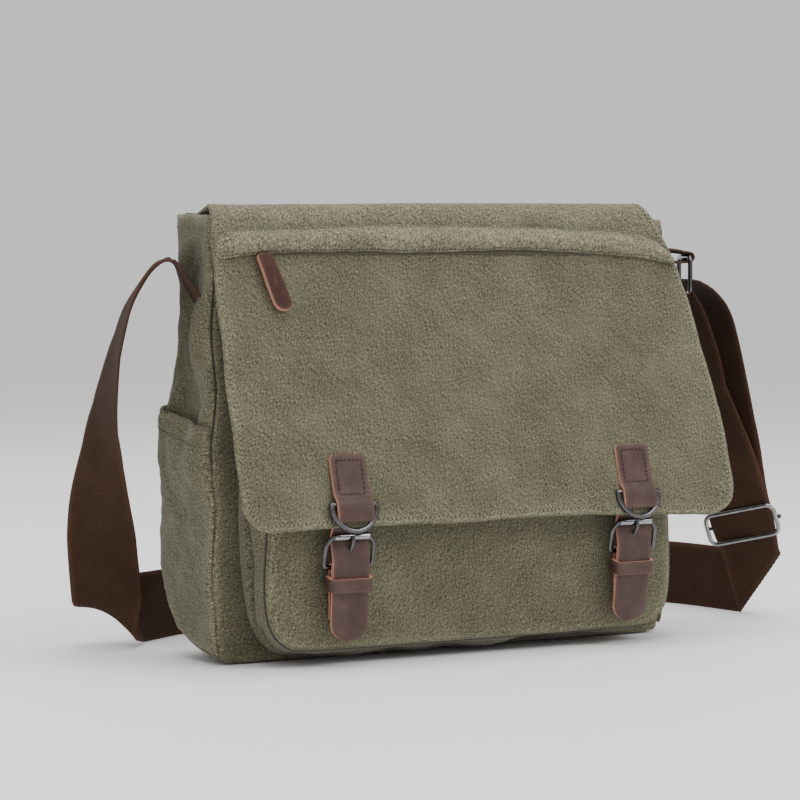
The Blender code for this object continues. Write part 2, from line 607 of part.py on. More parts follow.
def build_strap(ring_pivot, slider_pivot):
    ribbon("strap_main", STRAP_ROUTE, WEBBING_HALF, WEBBING, 0.005)
    ribbon("strap_end", STRAP_END_ROUTE, WEBBING_HALF, WEBBING, 0.005)
    ribbon("ring_tab", RING_TAB_ROUTE, 0.0225, WEBBING, 0.0018, square=False)
    up = Vector((0, 0, 1))
    centre = RING_TOP - up * (RING_DROP / 2)
    loop = rounded_rectangle(centre, RING_ALONG, up, 0.0275, RING_DROP / 2, 0.004)
    wire("strap_ring", loop, RING_WIRE, "gunmetal", ring_pivot, closed=True)
    lift = WEBBING / 2 + GAP + SLIDER_WIRE
    frame = rounded_rectangle(SLIDER + SLIDER_FACE * lift, SLIDER_ACROSS, SLIDER_DOWN, 0.0275, 0.0118, 0.005)
    wire("slider_frame", frame, SLIDER_WIRE, "gunmetal", slider_pivot, closed=True)
    middle = SLIDER - SLIDER_FACE * lift
    bar = [middle + SLIDER_ACROSS * (0.0295 * k / 4) for k in range(-4, 5)]
    wire("slider_bar", bar, SLIDER_WIRE, "gunmetal", slider_pivot)


def build():
    clear_scene()
    build_body()
    build_front_pocket()
    build_side_pocket("side_pocket_left", -1)
    build_side_pocket("side_pocket_right", 1)
    flap_top = pivot("flap_top_pivot", (0, *HINGE_BACK))
    flap_front = pivot("flap_front_pivot", (0, FLAP_CREASE_Y, FLAP_TOP))
    build_flap(flap_top, flap_front)
    slider_pivot = pivot("zip_slider_pivot", (SLIDER_X, flap_face(ZIP_Z), ZIP_Z))
    puller_pivot = pivot("zip_puller_pivot", (SLIDER_X, flap_face(PULLER_TOP) - 0.0020, PULLER_TOP))
    build_zip(slider_pivot, puller_pivot)
    for side, x in CLOSURES:
        build_tab("tab_" + side, x, flap_front)
        ring_pivot = pivot("d_ring_pivot_" + side, (x, flap_face(0.113) - 0.0019, 0.113))
        build_d_ring("d_ring_" + side, x, ring_pivot)
        swing = pivot("closure_pivot_" + side, (x, *STRAP_HINGE))
        build_closure(side, x, swing, pivot("prong_pivot_" + side, (x, *LOWER_BAR)))
    build_strap(pivot("ring_pivot", RING_TOP), pivot("slider_pivot", SLIDER))


build()
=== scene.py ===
"""The messenger bag's looks: washed canvas, leather straps, gunmetal fittings and a webbing shoulder strap.

Units are metres, +Z up, the bag's front faces -Y. Flat coordinates of cloth are metres too.
"""

import json
import math

import bmesh
import bpy
import numpy as np
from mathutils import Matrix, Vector, noise


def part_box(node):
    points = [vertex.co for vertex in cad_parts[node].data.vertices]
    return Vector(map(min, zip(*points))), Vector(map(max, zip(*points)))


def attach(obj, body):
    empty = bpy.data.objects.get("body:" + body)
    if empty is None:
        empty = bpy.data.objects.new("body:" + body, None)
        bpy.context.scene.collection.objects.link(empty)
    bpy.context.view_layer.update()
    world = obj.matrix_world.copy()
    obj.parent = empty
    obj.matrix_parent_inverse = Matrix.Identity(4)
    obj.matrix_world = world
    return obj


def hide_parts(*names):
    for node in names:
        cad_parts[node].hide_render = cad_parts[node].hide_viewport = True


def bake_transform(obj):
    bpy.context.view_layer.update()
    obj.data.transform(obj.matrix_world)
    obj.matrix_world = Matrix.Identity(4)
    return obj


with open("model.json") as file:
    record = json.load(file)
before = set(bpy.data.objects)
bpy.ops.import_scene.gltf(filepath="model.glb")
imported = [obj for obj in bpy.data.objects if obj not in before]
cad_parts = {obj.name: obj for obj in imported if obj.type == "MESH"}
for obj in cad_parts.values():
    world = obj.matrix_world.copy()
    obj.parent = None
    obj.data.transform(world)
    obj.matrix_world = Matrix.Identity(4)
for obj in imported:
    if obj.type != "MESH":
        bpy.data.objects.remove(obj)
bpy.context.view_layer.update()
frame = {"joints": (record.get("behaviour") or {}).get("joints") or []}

JOINTS = {joint["name"]: joint for joint in frame["joints"]}
CREASE_Y, CREASE_Z = JOINTS["flap_fold"]["pos_m"][1:]
FLAP_SLOPE = 0.285
CLOSURES = {side: JOINTS["billet_swing_" + side]["pos_m"][0] for side in ("left", "right")}
POCKET_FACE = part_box("pocket_front")[0].y
CANVAS = 0.0026                 # canvas sheet with its backing
LEATHER = 0.0025
D_RING_Z = JOINTS["d_ring_swing_left"]["pos_m"][2]
BAR_Y, BAR_Z = JOINTS["prong_turn_left"]["pos_m"][1:]

# Camera, at the viewing angle of a three-quarter product shot
CAMERA_PLACE = (-1.06134, -1.79834, 0.27158)
CAMERA_TURN = (math.radians(87.437), 0.0, math.radians(-30.219))
CAMERA_LENS = 128.04

# Shoulder strap: centre points, each with the direction of the webbing's width. It runs from the left
# gusset round the back to the oblique fold on the right, and from there up through the slider to the ring.
STRAP_REAR_ROUTE = [
    ((-0.1838, -0.0110, 0.2340), (0.00, -1.00, 0.00)),
    ((-0.1858, -0.0110, 0.2470), (-0.06, -1.00, 0.00)),
    ((-0.1908, -0.0105, 0.2610), (-0.27, -0.96, 0.00)),
    ((-0.1982, -0.0100, 0.2752), (-0.41, -0.91, 0.00)),
    ((-0.2055, -0.0085, 0.2805), (-0.43, -0.90, 0.00)),
    ((-0.2140, -0.0030, 0.2745), (-0.42, -0.91, 0.00)),
    ((-0.2210, 0.0070, 0.2590), (-0.39, -0.92, 0.00)),
    ((-0.2268, 0.0150, 0.2410), (-0.32, -0.95, 0.00)),
    ((-0.2303, 0.0215, 0.2200), (-0.30, -0.95, 0.00)),
    ((-0.2307, 0.0350, 0.1900), (-0.17, -0.98, 0.00)),
    ((-0.2295, 0.0450, 0.1680), (-0.08, -0.99, 0.00)),
    ((-0.2262, 0.0570, 0.1400), (0.17, -0.98, 0.00)),
    ((-0.2235, 0.0670, 0.1090), (0.52, -0.85, 0.00)),
    ((-0.2190, 0.0750, 0.0800), (0.80, -0.60, 0.00)),
    ((-0.2145, 0.0800, 0.0530), (0.86, -0.50, 0.00)),
    ((-0.2120, 0.0820, 0.0360), (0.86, -0.50, 0.02)),
    ((-0.2105, 0.0832, 0.0300), (0.71, -0.70, -0.04)),
    ((-0.2088, 0.0850, 0.0258), (0.54, -0.82, -0.18)),
    ((-0.2057, 0.0878, 0.0226), (0.37, -0.85, -0.38)),
    ((-0.2015, 0.0905, 0.0216), (0.25, -0.77, -0.59)),
    ((-0.1962, 0.0928, 0.0224), (0.18, -0.61, -0.77)),
    ((-0.1850, 0.0965, 0.0252), (0.08, -0.30, -0.95)),
    ((-0.1650, 0.1050, 0.0257), (0.02, -0.08, -1.00)),
    ((-0.1310, 0.1250, 0.0257), (0.00, 0.00, -1.00)),
    ((-0.0900, 0.1470, 0.0257), (0.00, 0.00, -1.00)),
    ((-0.0400, 0.1610, 0.0257), (0.00, 0.00, -1.00)),
    ((0.0300, 0.1680, 0.0257), (0.00, 0.00, -1.00)),
    ((0.1000, 0.1700, 0.0257), (0.00, 0.00, -1.00)),
    ((0.1700, 0.1690, 0.0257), (0.00, 0.00, -1.00)),
    ((0.2300, 0.1620, 0.0257), (0.00, 0.00, -1.00)),
    ((0.2750, 0.1450, 0.0256), (0.00, 0.00, -1.00)),
    ((0.3010, 0.1150, 0.0254), (0.00, 0.00, -1.00)),
    ((0.3105, 0.0850, 0.0253), (0.00, 0.00, -1.00)),
]
STRAP_FRONT_ROUTE = [
    ((0.2990, 0.0000, 0.0735), (-0.597, 0.775, -0.209)),
    ((0.2906, 0.0000, 0.0975), (-0.597, 0.775, -0.209)),
    ((0.2841, 0.0000, 0.1160), (-0.597, 0.775, -0.209)),
    ((0.2705, -0.0005, 0.1550), (-0.27, 0.95, -0.12)),
    ((0.2590, -0.0005, 0.1850), (-0.12, 0.99, -0.04)),
    ((0.2480, -0.0060, 0.2080), (-0.20, 0.98, 0.00)),
    ((0.2400, -0.0050, 0.2330), (-0.10, 1.00, 0.00)),
    ((0.2374, -0.0010, 0.2500), (0.20, 0.98, 0.00)),
    ((0.2376, 0.0010, 0.2580), (0.40, 0.92, 0.00)),
    ((0.2387, 0.0014, 0.2630), (0.45, 0.89, 0.00)),
    ((0.2400, 0.0008, 0.2649), (0.45, 0.89, 0.00)),
    ((0.2412, 0.0002, 0.2654), (0.45, 0.89, 0.00)),
]
WEBBING_COLUMNS = 15
STRAP_HALF = 0.0246
RING_TAB_HALF = 0.0225
WEBBING = 0.0019                # thickness of the webbing
STRAP_FOLD = (0.3141, 0.0, 0.0303)      # middle of the oblique fold, on the upper side of the turn
STRAP_FOLD_DOWN = (0.330, 0.0, -0.944)  # the webbing comes down to the fold this way
STRAP_FOLD_AWAY = (-0.110, 0.994, 0.0)  # and leaves it this way, standing on its edge
STRAP_FOLD_RADIUS = 0.0034
STRAP_END_ROUTE = [
    ((0.2430, -0.0007, 0.2658), (0.45, 0.89, 0.00)),
    ((0.2450, -0.0017, 0.2656), (0.45, 0.89, 0.00)),
    ((0.2490, -0.0032, 0.2641), (0.43, 0.90, 0.00)),
    ((0.2558, -0.0042, 0.2590), (0.30, 0.95, 0.00)),
    ((0.2622, -0.0040, 0.2490), (0.12, 0.99, 0.00)),
    ((0.2660, -0.0034, 0.2360), (-0.04, 1.00, 0.00)),
    ((0.2708, -0.0027, 0.2150), (-0.14, 0.99, -0.04)),
    ((0.2768, -0.0015, 0.1900), (-0.20, 0.98, -0.07)),
    ((0.2842, 0.0010, 0.1600), (-0.28, 0.95, -0.12)),
    ((0.2890, 0.0025, 0.1350), (-0.43, 0.88, -0.17)),
    ((0.2914, 0.0032, 0.1130), (-0.60, 0.77, -0.21)),
    ((0.2952, 0.0027, 0.0932), (-0.597, 0.775, -0.209)),
    ((0.3005, 0.0024, 0.0769), (-0.597, 0.775, -0.209)),
]
RING_TAB_ROUTE = [
    ((0.1880, -0.0130, 0.2895), (0.00, 1.00, 0.00)),
    ((0.2050, -0.0088, 0.2895), (0.15, 0.99, 0.00)),
    ((0.2250, -0.0040, 0.2885), (0.35, 0.94, 0.00)),
    ((0.2360, -0.0013, 0.2874), (0.45, 0.89, 0.00)),
    ((0.2415, 0.0000, 0.2869), (0.45, 0.89, 0.00)),
    ((0.2441, -0.0013, 0.2857), (0.45, 0.89, 0.00)),
    ((0.2447, -0.0016, 0.2835), (0.45, 0.89, 0.00)),
    ((0.2441, -0.0013, 0.2813), (0.45, 0.89, 0.00)),
    ((0.2415, 0.0000, 0.2801), (0.45, 0.89, 0.00)),
    ((0.2360, -0.0013, 0.2797), (0.45, 0.89, 0.00)),
    ((0.2250, -0.0040, 0.2795), (0.35, 0.94, 0.00)),
    ((0.2050, -0.0088, 0.2815), (0.15, 0.99, 0.00)),
    ((0.1880, -0.0130, 0.2858), (0.00, 1.00, 0.00)),
]


# ---------------------------------------------------------------- materials

class Nodes:
    """A short way to write a material's node tree."""

    def __init__(self, name, roughness, metallic=0.0):
        self.material = bpy.data.materials.new(name)
        self.material.use_nodes = True
        self.tree = self.material.node_tree
        self.shader = self.tree.nodes["Principled BSDF"]
        self.shader.inputs["Roughness"].default_value = roughness
        self.shader.inputs["Metallic"].default_value = metallic

    def add(self, kind, **settings):
        node = self.tree.nodes.new("ShaderNode" + kind)
        for key, value in settings.items():
            if isinstance(value, tuple) and key == "inputs":
                for name, setting in value:
                    self.feed(node.inputs[name], setting)
            else:
                setattr(node, key, value)
        return node

    def feed(self, socket, value):
        if isinstance(value, bpy.types.NodeSocket):
            self.tree.links.new(value, socket)
        else:
            socket.default_value = value

    def place(self, source, scale):
        node = self.add("Mapping")
        self.feed(node.inputs["Vector"], source)
        node.inputs["Scale"].default_value = scale
        return node.outputs["Vector"]

    def slant(self, source, stretch, turn):
        """Coordinates that stretch a texture along a direction turned from the cloth's length."""
        node = self.add("Mapping", vector_type="TEXTURE")
        self.feed(node.inputs["Vector"], source)
        node.inputs["Scale"].default_value = (1.0, stretch, 1.0)
        node.inputs["Rotation"].default_value = (0.0, 0.0, turn)
        return node.outputs["Vector"]

    def noise(self, vector, scale, detail=3.0, roughness=0.55, distortion=0.0):
        node = self.add("TexNoise")
        self.feed(node.inputs["Vector"], vector)
        for key, value in (("Scale", scale), ("Detail", detail), ("Roughness", roughness),
                           ("Distortion", distortion)):
            node.inputs[key].default_value = value
        return node.outputs["Fac"]

    def bands(self, vector, pitch, direction="X", distortion=0.0):
        """A sine wave between 0 and 1 with one period per pitch."""
        node = self.add("TexWave", wave_type="BANDS", bands_direction=direction, wave_profile="SIN")
        self.feed(node.inputs["Vector"], vector)
        node.inputs["Scale"].default_value = math.pi / 10 / pitch
        node.inputs["Distortion"].default_value = distortion
        node.inputs["Detail"].default_value = 1.0
        return node.outputs["Fac"]

    def math(self, operation, a, b=0.0, c=0.0):
        node = self.add("Math", operation=operation)
        for socket, value in zip(node.inputs, (a, b, c)):
            self.feed(socket, value)
        return node.outputs[0]

    def ramp(self, value, stops):
        node = self.add("ValToRGB")
        self.feed(node.inputs["Fac"], value)
        ramp = node.color_ramp
        while len(ramp.elements) < len(stops):
            ramp.elements.new(0.5)
        for element, (position, colour) in zip(ramp.elements, stops):
            element.position = position
            element.color = (*colour, 1.0)
        return node.outputs["Color"]

    def mix(self, factor, a, b, blend="MIX"):
        node = self.add("Mix", data_type="RGBA", blend_type=blend)
        self.feed(node.inputs["Factor"], factor)
        self.feed(node.inputs[6], a if isinstance(a, bpy.types.NodeSocket) else (*a, 1.0))
        self.feed(node.inputs[7], b if isinstance(b, bpy.types.NodeSocket) else (*b, 1.0))
        return node.outputs[2]

    def bump(self, height, distance, strength=1.0, normal=None):
        node = self.add("Bump")
        node.inputs["Strength"].default_value = strength
        node.inputs["Distance"].default_value = distance
        self.feed(node.inputs["Height"], height)
        if normal:
            self.feed(node.inputs["Normal"], normal)
        return node.outputs["Normal"]

    def flat(self):
        """Flat coordinates of the cloth, in metres."""
        return self.add("UVMap", uv_map="flat").outputs["UV"]

    def wear(self):
        return self.add("Attribute", attribute_name="wear").outputs["Fac"]

    def finish(self, colour, roughness, normal):
        self.feed(self.shader.inputs["Base Color"], colour)
        self.feed(self.shader.inputs["Roughness"], roughness)
        self.feed(self.shader.inputs["Normal"], normal)
        return self.material


def shade(colour, factor):
    return tuple(channel * factor for channel in colour)


def cloth_material(name, colour, grain, contrast, wear_and_light_gain=None, roughness=0.9):
    """Washed twill: slanting light and dark yarn, flecks, faint blotches and paler worn edges. The same paler
    colour paints light on the hood's belly.
    """
    n = Nodes(name, roughness)
    flat = n.flat()
    yarn = n.noise(n.slant(flat, 3.4, 0.75), grain * 1.15, 3.0, 0.75)
    cross = n.noise(n.slant(flat, 2.2, -0.60), grain * 1.1, 2.0, 0.6)
    fleck = n.noise(flat, grain * 0.42, 2.0, 0.5)
    wash = n.noise(flat, 30.0, 3.0, 0.6)
    cloud = n.noise(flat, 9.0, 2.0)
    tone = n.math("MULTIPLY_ADD", yarn, 1.70, -0.86)
    tone = n.math("MULTIPLY_ADD", cross, 0.45, tone)
    tone = n.math("MULTIPLY_ADD", fleck, 0.22, tone)
    tone = n.math("MULTIPLY_ADD", wash, 0.22, tone)
    tone = n.math("MULTIPLY_ADD", cloud, 0.12, tone)
    stops = [(0.20, shade(colour, 1 - 0.62 * contrast)), (0.42, shade(colour, 1 - 0.14 * contrast)),
             (0.56, shade(colour, 1 + 0.20 * contrast)), (0.80, shade(colour, 1 + 1.10 * contrast))]
    painted = n.ramp(tone, stops)
    tint = n.noise(flat, 210.0, 3.0, 0.6)
    painted = n.mix(n.math("MULTIPLY_ADD", tint, 1.6, -0.55), painted, (1.10, 0.98, 0.90), "MULTIPLY")
    # Worn places get a brighter colour; on the hood's belly the same brightening is painted light
    if wear_and_light_gain:
        rubbed = n.math("MULTIPLY_ADD", n.noise(flat, 260.0, 3.0), 1.6, -0.35)
        worn_and_lit = n.mix(1.0, painted, wear_and_light_gain, "MULTIPLY")
        painted = n.mix(n.math("MULTIPLY", n.wear(), rubbed), painted, worn_and_lit)
    height = n.math("MULTIPLY_ADD", yarn, 0.7, n.math("MULTIPLY", cross, 0.3))
    normal = n.bump(height, 0.00020, 0.9)
    normal = n.bump(n.noise(flat, 110.0, 3.0), 0.0006, 0.4, normal)
    n.shader.inputs["Sheen Weight"].default_value = 0.12
    n.shader.inputs["Sheen Roughness"].default_value = 0.55
    n.shader.inputs["Specular IOR Level"].default_value = 0.15
    return n.finish(painted, n.math("MULTIPLY_ADD", wash, 0.12, roughness - 0.06), normal)


def webbing_material():
    """Close webbing: very fine slanting ribs, uneven yarn and rubbed selvedges."""
    colour = (0.0440, 0.0245, 0.0165)
    n = Nodes("webbing", 0.75)
    flat = n.flat()
    ribs = n.bands(n.slant(flat, 1.0, math.radians(32)), 0.0021, "X", 0.25)
    picks = n.bands(flat, 0.0016, "Y", 0.3)
    yarn = n.noise(n.slant(flat, 2.0, 0.4), 1000.0, 2.0)
    cloud = n.noise(flat, 40.0, 3.0)
    tone = n.math("ADD", n.math("MULTIPLY", ribs, 0.14), n.math("MULTIPLY", yarn, 0.60))
    tone = n.math("MULTIPLY_ADD", cloud, 0.30, tone)
    painted = n.ramp(tone, [(0.25, shade(colour, 0.55)), (0.50, colour), (0.75, shade(colour, 1.7))])
    painted = n.mix(n.math("MULTIPLY", n.wear(), 0.45), painted, (0.105, 0.050, 0.034))
    height = n.math("MULTIPLY_ADD", ribs, 0.5, n.math("MULTIPLY", picks, 0.3))
    normal = n.bump(n.math("ADD", height, n.math("MULTIPLY", yarn, 0.4)), 0.0003, 0.7)
    n.shader.inputs["Sheen Weight"].default_value = 0.03
    n.shader.inputs["Sheen Roughness"].default_value = 0.4
    n.shader.inputs["Specular IOR Level"].default_value = 0.05
    return n.finish(painted, n.math("MULTIPLY_ADD", yarn, 0.16, 0.80), normal)


def leather_material(name, colour, light, gloss=0.32):
    """Oiled leather: fine pebble grain, rubbed highlights near edges, darker in the pores."""
    n = Nodes(name, 0.5)
    flat = n.flat()
    pores = n.add("TexVoronoi", feature="DISTANCE_TO_EDGE")
    n.feed(pores.inputs["Vector"], n.place(flat, (1.0, 1.15, 1.0)))
    pores.inputs["Scale"].default_value = 950.0
    pebble = n.math("MINIMUM", n.math("MULTIPLY", pores.outputs["Distance"], 4.0), 1.0)
    cloud = n.noise(flat, 70.0, 4.0, 0.6)
    fine = n.noise(flat, 700.0, 2.0)
    tone = n.math("ADD", n.math("MULTIPLY", cloud, 0.75), n.math("MULTIPLY", fine, 0.30))
    painted = n.ramp(tone, [(0.30, shade(colour, 0.62)), (0.52, colour), (0.74, light)])
    painted = n.mix(n.math("MULTIPLY", n.wear(), 0.55), painted, (0.120, 0.062, 0.050))
    normal = n.bump(pebble, 0.00018, 0.8)
    normal = n.bump(cloud, 0.0006, 0.4, normal)
    n.shader.inputs["Coat Weight"].default_value = 0.05
    n.shader.inputs["Coat Roughness"].default_value = 0.30
    n.shader.inputs["Specular IOR Level"].default_value = gloss
    return n.finish(painted, n.math("MULTIPLY_ADD", cloud, 0.25, 0.34), normal)


def raw_edge_material():
    """The undyed cut edge of the leather: fibrous and pinkish."""
    n = Nodes("raw_edge", 0.8)
    flat = n.add("TexCoord").outputs["Object"]
    fibres = n.noise(n.place(flat, (1.0, 1.0, 3.0)), 900.0, 3.0)
    painted = n.ramp(fibres, [(0.30, (0.36, 0.150, 0.100)), (0.60, (0.58, 0.262, 0.178)),
                              (0.80, (0.70, 0.400, 0.290))])
    return n.finish(painted, n.math("MULTIPLY_ADD", fibres, 0.2, 0.65), n.bump(fibres, 0.0003, 0.7))


def metal_material(name, colour, roughness):
    """Plated metal with fine wear and faint brushing."""
    n = Nodes(name, roughness, 1.0)
    flat = n.add("TexCoord").outputs["Object"]
    wear = n.noise(flat, 260.0, 4.0, 0.65)
    brushed = n.noise(n.place(flat, (1.0, 1.0, 12.0)), 300.0, 2.0)
    painted = n.ramp(wear, [(0.30, shade(colour, 0.72)), (0.55, colour), (0.80, shade(colour, 1.35))])
    rough = n.math("MULTIPLY_ADD", wear, 0.22, roughness - 0.10)
    return n.finish(painted, rough, n.bump(brushed, 0.00006, 0.4))


def thread_material(name, colour):
    """Twisted sewing thread; the same look also serves the painted shade of needle holes and creases."""
    n = Nodes(name, 0.7)
    place = n.add("TexCoord").outputs["Object"]
    twist = n.noise(place, 1400.0, 2.0)
    painted = n.ramp(twist, [(0.3, shade(colour, 0.7)), (0.6, colour), (0.8, shade(colour, 1.2))])
    return n.finish(painted, n.math("MULTIPLY_ADD", twist, 0.2, 0.55), n.bump(twist, 0.0002, 0.5))


def board_material():
    n = Nodes("board", 0.6)
    place = n.add("TexCoord").outputs["Object"]
    grain = n.noise(place, 300.0, 4.0)
    painted = n.ramp(grain, [(0.3, (0.020, 0.020, 0.022)), (0.7, (0.045, 0.045, 0.047))])
    return n.finish(painted, n.math("MULTIPLY_ADD", grain, 0.2, 0.5), n.bump(grain, 0.0003, 0.5))


def floor_material():
    n = Nodes("floor", 0.6)
    place = n.add("TexCoord").outputs["Object"]
    grain = n.noise(place, 3.0, 2.0)
    painted = n.ramp(grain, [(0.3, (0.955, 0.955, 0.955)), (0.7, (0.965, 0.965, 0.965))])
    return n.finish(painted, n.math("MULTIPLY_ADD", grain, 0.05, 0.6), n.bump(grain, 0.0001, 0.1))


OLIVE = (0.092, 0.089, 0.056)
MATERIALS = {
    "canvas": cloth_material("canvas", OLIVE, 1350.0, 1.55, (2.25, 2.22, 2.25)),
    "lining_cloth": cloth_material("lining_cloth", (0.135, 0.118, 0.088), 900.0, 0.35),
    "padding": cloth_material("padding", (0.050, 0.040, 0.034), 900.0, 0.4),
    "zip_cloth": cloth_material("zip_cloth", (0.060, 0.056, 0.038), 1100.0, 0.4),
    "webbing": webbing_material(),
    "leather": leather_material("leather", (0.058, 0.028, 0.0215), (0.095, 0.055, 0.046)),
    "dark_leather": leather_material("dark_leather", (0.044, 0.0150, 0.0105), (0.074, 0.028, 0.020), 0.12),
    "raw_edge": raw_edge_material(),
    "gunmetal": metal_material("gunmetal", (0.105, 0.103, 0.106), 0.15),
    "polished": metal_material("polished", (0.300, 0.300, 0.312), 0.18),
    "thread": thread_material("thread", (0.265, 0.256, 0.176)),
    "tone_thread": thread_material("tone_thread", (0.115, 0.111, 0.072)),
    # Painted shade: near-black for the shade inside needle holes
    "needle_hole": thread_material("needle_hole", (0.018, 0.017, 0.011)),
    # Painted shade: a dark colour laid on thin tubes for the shade in creases and grooves
    "crease": thread_material("crease", (0.036, 0.034, 0.022)),
    "dark_thread": thread_material("dark_thread", (0.030, 0.006, 0.008)),
    "board": board_material(),
}
# Materials of a sheet's outer side, inner side and edges
LINED_CANVAS = ["canvas", "lining_cloth", "canvas"]
CUT_LEATHER = ["leather", "raw_edge", "raw_edge"]


# ---------------------------------------------------------------- shapes

def smooth_line(points, steps=12):
    """A dense smooth curve through points of any dimension."""
    knots = np.array(points, float)
    knots = np.vstack([2 * knots[0] - knots[1], knots, 2 * knots[-1] - knots[-2]])
    t = np.linspace(0, 1, steps, endpoint=False)[:, None]
    parts = []
    for a, b, c, d in zip(knots, knots[1:], knots[2:], knots[3:]):
        parts.append(0.5 * (2 * b + (c - a) * t + (2 * a - 5 * b + 4 * c - d) * t ** 2
                            + (3 * b - a - 3 * c + d) * t ** 3))
    return np.vstack(parts + [knots[-2:-1]])


def distances(points):
    """How far along a polyline each of its points is."""
    return np.concatenate([[0.0], np.cumsum(np.linalg.norm(np.diff(points, axis=0), axis=1))])


def at(line, where):
    """Points of a polyline at distances along it."""
    travelled = distances(line)
    where = np.asarray(where, float)
    return np.stack([np.interp(where, travelled, line[:, k]) for k in range(line.shape[1])], -1)


def fractions(line, parts):
    """Points of a polyline at even fractions of its length."""
    return at(line, np.asarray(parts) * distances(line)[-1])


def crumple(a, b, size, seed):
    """Smooth random relief between about -0.5 and 0.5 over flat coordinates."""
    flat = np.stack([np.ravel(a) / size, np.ravel(b) / size], -1)
    values = [noise.noise(Vector((u, v, seed))) for u, v in flat]
    return np.array(values).reshape(np.shape(a))


def grid_normals(grid, wrap=False):
    if wrap:
        du = np.roll(grid, -1, 0) - np.roll(grid, 1, 0)
    else:
        du = np.gradient(grid, axis=0)
    normals = np.cross(du, np.gradient(grid, axis=1))
    return normals / np.maximum(np.linalg.norm(normals, axis=2, keepdims=True), 1e-12)


def make_piece(name, verts, faces, materials, face_materials=None, uvs=None, wear=None):
    """A mesh object with smooth shading, flat coordinates and wear."""
    mesh = bpy.data.meshes.new(name)
    mesh.from_pydata([tuple(v) for v in verts], [], [tuple(int(k) for k in f) for f in faces])
    for material in materials:
        mesh.materials.append(MATERIALS[material])
    if face_materials is not None:
        mesh.polygons.foreach_set("material_index", np.asarray(face_materials, np.int32))
    layer = mesh.uv_layers.new(name="flat")
    if uvs is not None:
        loops = np.zeros(len(mesh.loops), np.int32)
        mesh.loops.foreach_get("vertex_index", loops)
        layer.data.foreach_set("uv", np.asarray(uvs, np.float32)[loops].ravel())
    attribute = mesh.attributes.new("wear", "FLOAT", "POINT")
    if wear is not None:
        attribute.data.foreach_set("value", np.asarray(wear, np.float32))
    bm = bmesh.new()
    bm.from_mesh(mesh)
    bmesh.ops.recalc_face_normals(bm, faces=bm.faces)
    bm.to_mesh(mesh)
    bm.free()
    mesh.shade_smooth()
    mesh.set_sharp_from_angle(angle=math.radians(62))
    piece = bpy.data.objects.new(name, mesh)
    bpy.context.scene.collection.objects.link(piece)
    return piece


def shell(name, grid, thickness, flat, materials, outside=1, wrap=False, bulge=0.4, wear_reach=0.0035):
    """A sheet with thickness and rounded edges around the middle surface grid (rows, columns, 3).

    materials are those of the outer side, the inner side and the edges. The outer side is the one that the
    grid's normals point to when outside is 1. wrap joins the last row to the first.
    """
    rows, columns = grid.shape[:2]
    count = rows * columns
    index = np.arange(count).reshape(rows, columns)
    if wrap:
        index = np.vstack([index, index[:1]])
    quads = np.stack([index[:-1, :-1], index[1:, :-1], index[1:, 1:], index[:-1, 1:]], -1).reshape(-1, 4)
    places = grid.reshape(-1, 3)
    normals = grid_normals(grid, wrap).reshape(-1, 3)
    uv = np.asarray(flat, float).reshape(-1, 2)
    edges = {}
    for quad in quads:
        for a, b in zip(quad, np.roll(quad, -1)):
            edges[(int(a), int(b))] = True
    border = [(a, b) for a, b in edges if (b, a) not in edges]
    outward = {}
    for a, b in border:
        push = np.cross(places[b] - places[a], normals[a])
        push = push / max(np.linalg.norm(push), 1e-12)
        for corner in (a, b):
            outward[corner] = outward.get(corner, np.zeros(3)) + push
    ring = {corner: 2 * count + k for k, corner in enumerate(outward)}
    ring_places = np.array([places[c] + v / max(np.linalg.norm(v), 1e-12) * thickness * bulge
                            for c, v in outward.items()]).reshape(-1, 3)
    verts = np.vstack([places + normals * thickness / 2, places - normals * thickness / 2, ring_places])
    faces = [list(q) for q in quads] + [list(q[::-1] + count) for q in quads]
    kinds = [0 if outside > 0 else 1] * len(quads) + [1 if outside > 0 else 0] * len(quads)
    for a, b in border:
        faces.append([b, a, ring[a], ring[b]])
        faces.append([ring[b], ring[a], a + count, b + count])
        kinds += [2, 2]
    corners = list(outward)
    uvs = np.vstack([uv, uv, uv[corners].reshape(-1, 2)])
    border_places = places[corners]
    wear = np.zeros(count)
    if len(border_places):
        for start in range(0, count, 2000):
            part = places[start:start + 2000]
            gap = np.linalg.norm(part[:, None, :] - border_places[None, :, :], axis=2).min(1)
            wear[start:start + 2000] = np.exp(-gap / wear_reach)
    wears = np.concatenate([wear, wear, np.ones(len(corners))])
    return make_piece(name, verts, faces, materials, kinds, uvs, wears)


def tube(name, line, radius, material, closed=False, sides=14, squash=1.0, up=None):
    """A round wire along a polyline, flattened along up by squash if asked."""
    line = np.asarray(line, float)
    if closed:
        tangents = np.roll(line, -1, 0) - np.roll(line, 1, 0)
    else:
        tangents = np.gradient(line, axis=0)
    tangents /= np.linalg.norm(tangents, axis=1, keepdims=True)
    side = np.cross(tangents, up if up is not None else (0.0, 1.0, 0.001))
    side /= np.maximum(np.linalg.norm(side, axis=1, keepdims=True), 1e-9)
    lift = np.cross(side, tangents)
    turns = np.linspace(0, 2 * math.pi, sides, endpoint=False)
    radii = np.broadcast_to(radius, (len(line),))
    grid = (line[:, None, :] + side[:, None, :] * np.cos(turns)[None, :, None] * radii[:, None, None]
            + lift[:, None, :] * np.sin(turns)[None, :, None] * radii[:, None, None] * squash)
    index = np.arange(len(line) * sides).reshape(len(line), sides)
    rows = np.vstack([index, index[:1]]) if closed else index
    faces = []
    for low, high in zip(rows, rows[1:]):
        for k in range(sides):
            faces.append([low[k], low[(k + 1) % sides], high[(k + 1) % sides], high[k]])
    if not closed:
        faces.append(list(index[0][::-1]))
        faces.append(list(index[-1]))
    travelled = distances(line)
    uvs = np.stack([np.broadcast_to(turns[None, :] * np.mean(radii), (len(line), sides)),
                    np.broadcast_to(travelled[:, None], (len(line), sides))], -1).reshape(-1, 2)
    return make_piece(name, grid.reshape(-1, 3), faces, [material], None, uvs)


